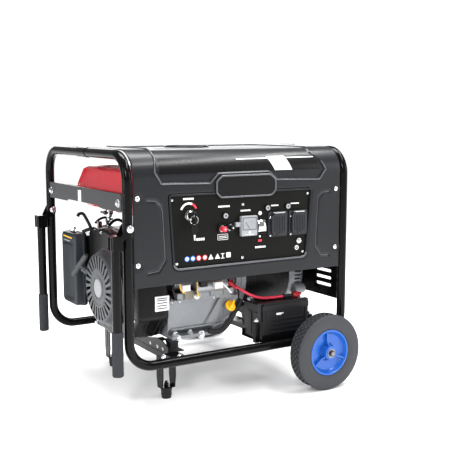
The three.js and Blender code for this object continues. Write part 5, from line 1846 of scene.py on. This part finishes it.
def intake_details():
    hoses = [wire([(95, 412, 276), (92, 400, 292), (78, 392, 300), (60, 398, 300), (46, 408, 293)], 5.0)]
    hoses.append(wire(
        [
            (110, 420, 268), (120, 402, 300), (140, 392, 322), (160, 384, 318), (172, 360, 290),
            (170, 348, 262)
        ], 4.4
    ))
    hoses.append(wire(
        [(32, 406, 338), (36, 406, 345), (48, 406, 345), (59, 406, 328), (71, 406, 303), (80, 406, 268)],
        4.6
    ))
    hoses.append(wire([(84, 404, 316), (96, 403, 326), (110, 400, 331), (128, 396, 330)], 3.6))
    hoses.append(wire([(70, 411, 286), (66, 380, 306), (60, 340, 308), (58, 300, 300)], 2.6))
    piece("breather_hoses", RUBBER, hoses)
    clamps = []
    for spot, way in (((139, 440, 270), UP), ((100, 340, 333), UP)):
        clamps.append(lathe([(4.7, -3), (6, -3), (6, 3), (4.7, 3)], spot, way, 28, closed=True))
        clamps.append(block(
            (spot[0] + 5, spot[0] + 11), (spot[1] - 1.6, spot[1] + 1.6), (spot[2] - 2.6, spot[2] + 2.6), 0.5
        ))
    piece("hose_clamps", ZINC, clamps)
    keep("fuel_hose", RUBBER)
    keep("fuel_tap_lever", STARTER_GREY)
    keep("choke_lever", ZINC)
    keep("recoil_pulley", GREY_PLASTIC)
    keep("crankshaft", DARK_STEEL)


def muffler():
    y, z = 425, 265
    left, right = 392, 628
    can = [
        (0, 0), (40, 0), (52, 2), (58, 7), (60, 12), (61.8, 12.4), (61.8, 15), (60, 15.6), (60, 110),
        (61.2, 111), (61.2, 125), (60, 126)
    ]
    can += [(60, 220), (61.8, 221), (61.8, 224), (60, 224.6), (58, 229), (52, 234), (40, 236), (0, 236)]
    shapes = [lathe(can, (left, y, z), RIGHT, 72)]
    pipe = smooth_route([(323, 430, 238), (340, 430, 240), (365, 428, 248), (400, 426, 258)], 10)
    shapes.append(sweep(pipe, 15.6, 32))
    shapes.append(block((319.5, 326), (402, 458), (212, 264), 2.0))
    outlet = [(12.4, 0), (15, 0), (15, 28), (16, 30), (16, 35), (12.4, 36)]
    shapes.append(lathe(outlet, (right - 8, y, z), RIGHT, 40, closed=True))
    piece("muffler_look", MUFFLER_STEEL, shapes, ["muffler"])
    angles = [math.radians(-35 + 130 * k / 24) for k in range(25)]
    radius, sheet = 67, 1.4
    hollow_radius = radius - sheet
    outer = [(left + 22, y + radius * math.cos(a), z + radius * math.sin(a)) for a in angles]
    inner = [
        (left + 22, y + hollow_radius * math.cos(a), z + hollow_radius * math.sin(a))
        for a in reversed(angles)
    ]
    ring = outer + inner
    plate = loft([ring, [(right - 22, u, v) for _, u, v in ring]])
    holes = []
    for row in range(6):
        for column in range(8):
            a = math.radians(-20 + 20 * row)
            x = left + 40 + column * 22 + 11 * (row % 2)
            out = Vector((0, math.cos(a), math.sin(a)))
            spot = Vector((x, y, z))
            holes.append(rod(spot + out * 60, spot + out * 72, 5.2, bevel=0, steps=12))
    shield = [cut(plate, *holes)]
    shield += [block((x, x + 10), (y + 59, y + 67), (z - 4, z + 4), 0.8) for x in (left + 30, right - 40)]
    piece("muffler_shield", STARTER_GREY, shield)


def electric_starter():
    y, z = 128, 187
    can = [
        (0, 0), (26, 0), (31, 2), (32, 5), (34, 5.6), (34, 24), (33.2, 25), (33.2, 112), (34, 113),
        (34, 138), (31, 140), (26, 141), (25, 152), (0, 152)
    ]
    shapes = [lathe(can, (178, y, z), RIGHT, 64)]
    shapes.append(lathe(
        [
            (0, 0), (16, 0), (19.6, 2), (19.6, 74), (20, 76), (20, 96), (17, 99), (8, 100), (8, 108),
            (0, 109)
        ], (232, 92, 166), RIGHT, 48
    ))
    shapes.append(block((296, 332), (84, 150), (150, 176), 3.0))
    piece("starter_motor_look", STARTER_STEEL, shapes, ["starter_motor"])
    bolts = [
        rod(
            (176, y + 26 * math.cos(a), z + 26 * math.sin(a)),
            (184, y + 26 * math.cos(a), z + 26 * math.sin(a)), 3.4, bevel=0.5, steps=6
        ) for a in (0.9, 4.0)
    ]
    bolts += [hex_bolt((341, 92 + u, 166 + v), RIGHT, 3.6) for u, v in ((0, 9), (0, -9))]
    piece("starter_bolts", ZINC, bolts)
    band = lathe([(34.2, 0), (35.4, 0.8), (35.4, 13), (34.2, 14)], (208, y, z), RIGHT, 64, closed=True)
    bracket = block((196, 222), (72, 92), (139, 162), 3.0)
    piece("starter_bracket", BRASS_DULL, [band, bracket])


def bay_wiring():
    """Leads, connectors and the oil sensor seen under the panel."""
    yellow = [
        wire([(177, 66, 196), (176, 62, 176), (183, 61, 163), (192, 62, 160)], 1.7),
        wire([(222, 68, 196), (227, 62, 184), (226, 60, 168), (228, 60, 152), (231, 64, 146)], 1.7)
    ]
    piece("wires_yellow", WIRE_YELLOW, yellow)
    white = [
        block((182, 205), (58, 74), (164, 181), 1.6), block((283, 309), (64, 84), (160, 178), 2.0),
        block((308, 338), (66, 74), (186, 196), 1.5)
    ]
    white += [
        wire([(303, 64, 178), (314, 60, 165), (326, 60, 152), (334, 64, 146)], 2.0),
        wire([(309, 64, 172), (322, 60, 158), (330, 60, 146)], 1.6)
    ]
    piece("connectors_white", WHITE_PLASTIC, white)
    black = [
        block((240, 262), (64, 84), (168, 186), 4.0),
        wire([(240, 66, 190), (262, 62, 186), (286, 64, 192), (312, 66, 190), (330, 72, 196)], 3.2)
    ]
    black.append(wire([(160, 74, 190), (158, 66, 168), (163, 66, 150), (170, 70, 142)], 2.6))
    # Thick black hose along the crankcase's lower edge; it also stands in for painted shade under the case.
    black.append(wire(
        [
            (262, 66, 48), (286, 58, 44), (306, 56, 52), (322, 56, 68), (338, 62, 84), (356, 70, 100),
            (372, 80, 118)
        ], 7.6, 20
    ))
    black.append(wire([(356, 84, 160), (352, 70, 176), (346, 66, 190), (340, 74, 198)], 2.2))
    black.append(wire([(366, 82, 150), (362, 70, 132), (356, 66, 122), (352, 72, 112)], 2.4))
    piece("harness_black", RUBBER, black)
    sensor = [lathe(
        [(0, 0), (9.4, 0), (9.4, 4), (7, 5.4), (7, 7), (0, 8)], (231, 72, 147), (0, -1, 0.2), 36
    )]
    sensor.append(lathe(
        [(9.6, 0), (11.4, 0), (11.4, 3), (9.6, 3)], (231, 73, 147), (0, -1, 0.2), 36, closed=True
    ))
    piece("oil_sensor", ZINC, sensor)
    piece(
        "oil_sensor_core", BRASS,
        [lathe([(0, 7), (4, 7), (4, 10), (2, 11.4), (0, 11.6)], (231, 72, 147), (0, -1, 0.2), 20)]
    )
    boot = smooth_route([(338, 90, 170), (346, 88, 166), (354, 86, 158), (360, 84, 152)], 6)
    piece(
        "cable_boot_left", BOOT_RED,
        [sweep(boot, lambda t: 9.5 - 4.2 * t + 0.7 * math.sin(t * 22), 24)]
    )


def alternator():
    centre = lambda x: (x, CRANK_Y, CRANK_Z)
    low, high = node_box("bell_housing")
    bell = [
        (18, low.x), (84, low.x), (88, low.x + 2), (94, low.x + 12), (104, low.x + 23), (105, low.x + 26),
        (105, low.x + 34), (103.4, low.x + 35.4), (103.4, low.x + 40), (105, low.x + 41.4), (105, high.x),
        (96, high.x), (96, low.x + 28), (80, low.x + 14), (18, low.x + 14),
    ]
    shapes = [lathe(bell, (0, CRANK_Y, CRANK_Z), RIGHT, 96, closed=True)]
    for k in range(24):
        outline = [
            (low.x + 3, 84), (low.x + 23, 103), (low.x + 30, 104.6), (low.x + 24, 106.4), (low.x + 20, 105),
            (low.x + 1, 87)
        ]
        rib = loft([[(x, u, r) for x, r in outline] for u in (-1.8, 1.8)], 0.6)
        shapes.append(turned_about(moved(rib, (0, CRANK_Y, CRANK_Z)), "X", centre(0), 15 * k))
    piece("bell_housing_look", CAST, shapes, ["bell_housing"])

    low, high = node_box("alternator_stator")
    ring = [(66, low.x), (98.6, low.x), (100, low.x + 1.6)]
    for k in range(12):
        x = low.x + 14 + k * (high.x - low.x - 26) / 12
        ring += [(100, x), (99.3, x + 0.7), (100, x + 1.4)]
    ring += [(100, high.x - 1.6), (98.6, high.x), (66, high.x)]
    shapes = [lathe(ring, (0, CRANK_Y, CRANK_Z), RIGHT, 96, closed=True)]
    shapes.append(block((478, 522), (195, 285), (BASE_LOW, 66), 2.0))
    piece("stator_look", STATOR_PAINT, shapes, ["alternator_stator"])
    tie_bolts, lugs = [], []
    for k in range(4):
        a = math.radians(45 + 90 * k)
        y, z = CRANK_Y + 99.5 * math.cos(a), CRANK_Z + 99.5 * math.sin(a)
        tie_bolts.append(rod((404, y, z), (600, y, z), 3.2, bevel=0.5))
        tie_bolts.append(hex_bolt((598, y, z), RIGHT, 5))
        lugs += [rod((x, y, z), (x + 14, y, z), 8, bevel=1.2) for x in (583, 412)]
    piece("alternator_tie_bolts", ZINC, tie_bolts)

    low, high = node_box("alternator_end_bracket")
    bracket = [
        (14, low.x), (100, low.x), (102, low.x + 4), (102, low.x + 16), (100, low.x + 18),
        (100, low.x + 44), (94, low.x + 54), (60, high.x - 1), (57, high.x), (0, high.x), (0, low.x + 24),
        (14, low.x + 24), (14, low.x + 14), (84, low.x + 14), (84, low.x + 6), (14, low.x + 6),
    ]
    body = lathe(bracket, (0, CRANK_Y, CRANK_Z), RIGHT, 96)
    slots = []
    count = 56
    for k in range(count):
        if k % 14 in (6, 7):
            continue
        slot = prism(rectangle((-2.3, 2.3), (78, 110), 1), "x", (low.x + 21, low.x + 43), 0)
        slots.append(turned_about(
            moved(slot, (0, CRANK_Y, CRANK_Z)), "X", centre(0), 360 * (k + 0.5) / count
        ))
    shapes = [cut(body, *slots)] + lugs
    for k in range(6):
        rib = block((high.x - 8, high.x), (-2.2, 2.2), (14, 56), 1.0)
        shapes.append(turned_about(moved(rib, (0, CRANK_Y, CRANK_Z)), "X", centre(0), 60 * k))
    piece("end_bracket_look", CAST, shapes, ["alternator_end_bracket"])
    inner = [lathe(
        [(20, 0), (70, 0), (70, 3), (20, 3)], (low.x + 28, CRANK_Y, CRANK_Z), RIGHT, 48, closed=True
    )]
    piece("end_bracket_inner", PLASTIC, inner)
    lobe = [
        rod((602, 148, 112), (639, 148, 112), 15, bevel=3),
        rod((639, 148, 112), (643, 148, 112), 9, bevel=1.5)
    ]
    piece("alternator_cable_gland", GREY_PLASTIC, lobe)


def engine_mounts():
    """Bonded rubber blocks between pressed plates."""
    for node in ("rubber_mount_front", "rubber_mount_rear", "rubber_mount_right"):
        low, high = node_box(node)
        cx, cy = middle(node).x, middle(node).y
        z0, z1 = low.z + 2.4, high.z - 2.4
        rings = []
        for k in range(9):
            waist = 15 - 2.4 * math.sin(math.pi * k / 8)
            square = rectangle((cx - waist, cx + waist), (cy - waist, cy + waist), 4, 5)
            rings.append([(u, v, z0 + (z1 - z0) * k / 8) for u, v in square])
        piece(node + "_look", RUBBER, [loft(rings)], [node])
        plates = [
            block((cx - 16, cx + 16), (cy - 16, cy + 16), zs, 0.7)
            for zs in ((low.z, low.z + 2.6), (high.z - 2.6, high.z))
        ]
        plates.append(loft([
            [(x, y, low.z + 0.1 + up) for x, y in rectangle((cx - side, cx + side), (cy - 16, cy + 16))]
            for up, side in ((0, 27), (2.4, 27), (8, 16.4))
        ]))
        piece(node + "_plates", BRACKET_PAINT, plates)
    web = [(46, 24), (82, 36), (118, 37), (150, 30), (215, 18), (255, 10), (255, 4.6), (60, 4.6), (46, 12)]
    web = prism(rounded([(y, z, 2) for y, z in web], 3), "x", (130.6, 133.6), 0.7)
    holes = [rod((126, y, 14.5), (138, y, 14.5), 3.6, bevel=0, steps=20) for y in (149, 107, 76)]
    fold = prism([(133, 34), (150, 34), (150, 36.4), (133, 36.4)], "y", (84, 116), 0.7)
    piece("mount_bracket", FRAME_PAINT, [cut(web, *holes), fold])
    eyelets = [
        lathe([(2.4, 0), (3.5, 0), (4.4, 0.5), (3.5, 1), (2.4, 1)], (130.6, y, 14.5), LEFT, 24, closed=True)
        for y in (149, 107, 76)
    ]
    eyelets.append(hex_bolt((129.9, 66, -5), LEFT, 6.4, 5))
    piece("mount_bolts", ZINC, eyelets)


# Battery


def battery():
    low, high = node_box("battery_tray")
    x0, x1, y0, y1 = low.x + 15, high.x - 15, low.y, high.y
    box_low, box_high = node_box("battery")
    top = box_high.z - 14
    bx0, bx1 = box_low.x, box_high.x
    by0, by1 = box_low.y, box_high.y
    case = [block((bx0 + 1.5, bx1 - 1.5), (by0 + 1.5, by1 - 1.5), (box_low.z, top - 16), 2.4)]
    case.append(block((bx0, bx1), (by0, by1), (top - 18, top - 2), 1.6))
    case.append(block((bx0 + 5, bx1 - 5), (by0 + 5, by1 - 5), (top - 4, top), 1.4))
    for z in (26, 38, 50, 62):
        case.append(block((bx0 + 30, bx1 - 20), (by0 - 1.2, by0 + 4), (z, z + 4.6), 1.6))
    for y in (by0 + 20, by0 + 58):
        case.append(block((bx0 - 0.4, bx0 + 4), (y, y + 22), (16, top - 26), 1.6))
    for x in (bx0 + 12, bx1 - 12):
        case.append(block((x - 1.6, x + 1.6), (by0 - 0.4, by0 + 4), (12, top - 20), 0.8))
    for k in range(6):
        x = bx0 + 22 + k * 22.4
        case.append(lathe(
            [(0, 0), (8.4, 0), (8.4, 1.6), (7, 2.4), (0, 2.4)], (x, (by0 + by1) / 2 + 12, top - 0.5), UP, 32
        ))
    for y0_rail, y1_rail in ((by0 + 3, by0 + 9), (by0 + 26, by0 + 30)):
        case.append(block((bx0 + 4, bx1 - 4), (y0_rail, y1_rail), (top - 2, top + 1.6), 0.8))
    piece("battery_case", BATTERY_BLACK, case, ["battery"])
    mark = [
        bar((bx0 + bx1) / 2 - 24, top - 29, 17, 5, front=by0 + 1.1, depth=0.5),
        bar((bx0 + bx1) / 2 - 11, top - 28, 3, 3, front=by0 + 1.1, depth=0.5)
    ]
    piece("battery_mark", WHITE_PRINT, mark)
    posts = []
    for (px0, px1), (py0, py1) in (((549, 564), (50, 72)), ((412, 427), (88, 108))):
        posts.append(block((px0 + 1, px1 - 1), (py0 + 2, py1 - 2), (top - 1, top + 9), 1.0))
        posts.append(hex_bolt(((px0 + px1) / 2, (py0 + py1) / 2, top + 8.4), UP, 5, 4))
    piece("battery_posts", ZINC, posts)

    tray = [block((x0, x1), (y0, y1), (low.z, low.z + 3), 0.7)]
    for ys in ((y0, y0 + 3), (y1 - 3, y1)):
        tray.append(block((x0, x1), ys, (low.z, low.z + 20), 0.8))
    for post, foot in (
        ((low.x, low.x + 14), (low.x, low.x + 22)), ((high.x - 14, high.x), (high.x - 22, high.x)),
    ):
        tray.append(block(post, (28, 42), (low.z, high.z), 1.0))
        tray.append(block(foot, (28, 42), (low.z, low.z + 3), 0.6))
    piece("battery_tray_look", FRAME_PAINT, tray, ["battery_tray"])
    low, high = node_box("battery_strap")
    left, right = bx0, bx1
    outline = [
        (low.x, 60), (left - 0.3, 60), (left - 0.3, high.z - 3), (right + 0.3, high.z - 3),
        (right + 0.3, 60), (high.x, 60), (high.x, 63), (right + 3.3, 63), (right + 3.3, high.z),
        (left - 3.3, high.z), (left - 3.3, 63), (low.x, 63),
    ]
    piece(
        "battery_strap_look", BRACKET_PAINT, [prism(outline, "y", (28, 42), 0.8)],
        ["battery_strap"]
    )
    bolts = [hex_bolt((x, 35, 63), UP, 6) for x in (low.x + 7, high.x - 7)]
    piece("battery_strap_bolts", ZINC, bolts)


CABLE_ROUTE = [
    (343, 92, 166), (354, 89, 161), (378, 76, 144), (404, 72, 129), (433, 67, 119),
    (465, 61, 117), (500, 60, 117), (530, 61, 116), (548, 61, 115.5),
]


def starter_cable():
    """Red lead from the starter to the battery, a black sleeve, and the clamp's crumpled cover."""
    piece(
        "starter_cable_look", CABLE_RED, [sweep(smooth_route(CABLE_ROUTE, 10), 3.9, 24)],
        ["starter_cable"]
    )
    sleeve = smooth_route([(502, 60, 117), (516, 60.4, 116.6), (530, 61, 116), (540, 61, 115.8)], 6)
    piece("starter_cable_sleeve", RUBBER, [sweep(sleeve, 5.2, 20)])
    x, y, z = 552, 61, 116
    rings = []
    for k in range(17):
        t = k / 16
        ring = []
        for i in range(28):
            a = 2 * math.pi * i / 28
            crumple = 1 + 0.13 * math.sin(3 * a + 9 * t) + 0.09 * math.sin(7 * a - 17 * t)
            bulge = math.sin(math.pi * (0.12 + 0.84 * t)) ** 0.6
            ring.append((
                x - 16 + 32 * t, y + 11.5 * bulge * crumple * math.cos(a),
                z + 1 + 8.5 * bulge * crumple * math.sin(a)
            ))
        rings.append(ring)
    piece("battery_clamp_cover", BOOT_RED, [loft(rings)], smooth=60)


make_camera()
make_studio()
make_floor()
for build in (
    frame_loops, base_parts, wheels_and_axle, handles, top_cover, cover_trim, panel_plate, panel_prints,
    key_switch, breaker_buttons, dc_terminals, voltmeter, main_breaker, sockets, fuel_tank, fuel_cap,
    tank_brackets, end_guard, crankcase, dipstick, cylinder_head, fan_shroud, recoil_starter, pull_grip,
    air_filter, carburettor, intake_details, muffler, electric_starter, bay_wiring, alternator,
    engine_mounts, battery, starter_cable,
):
    build()
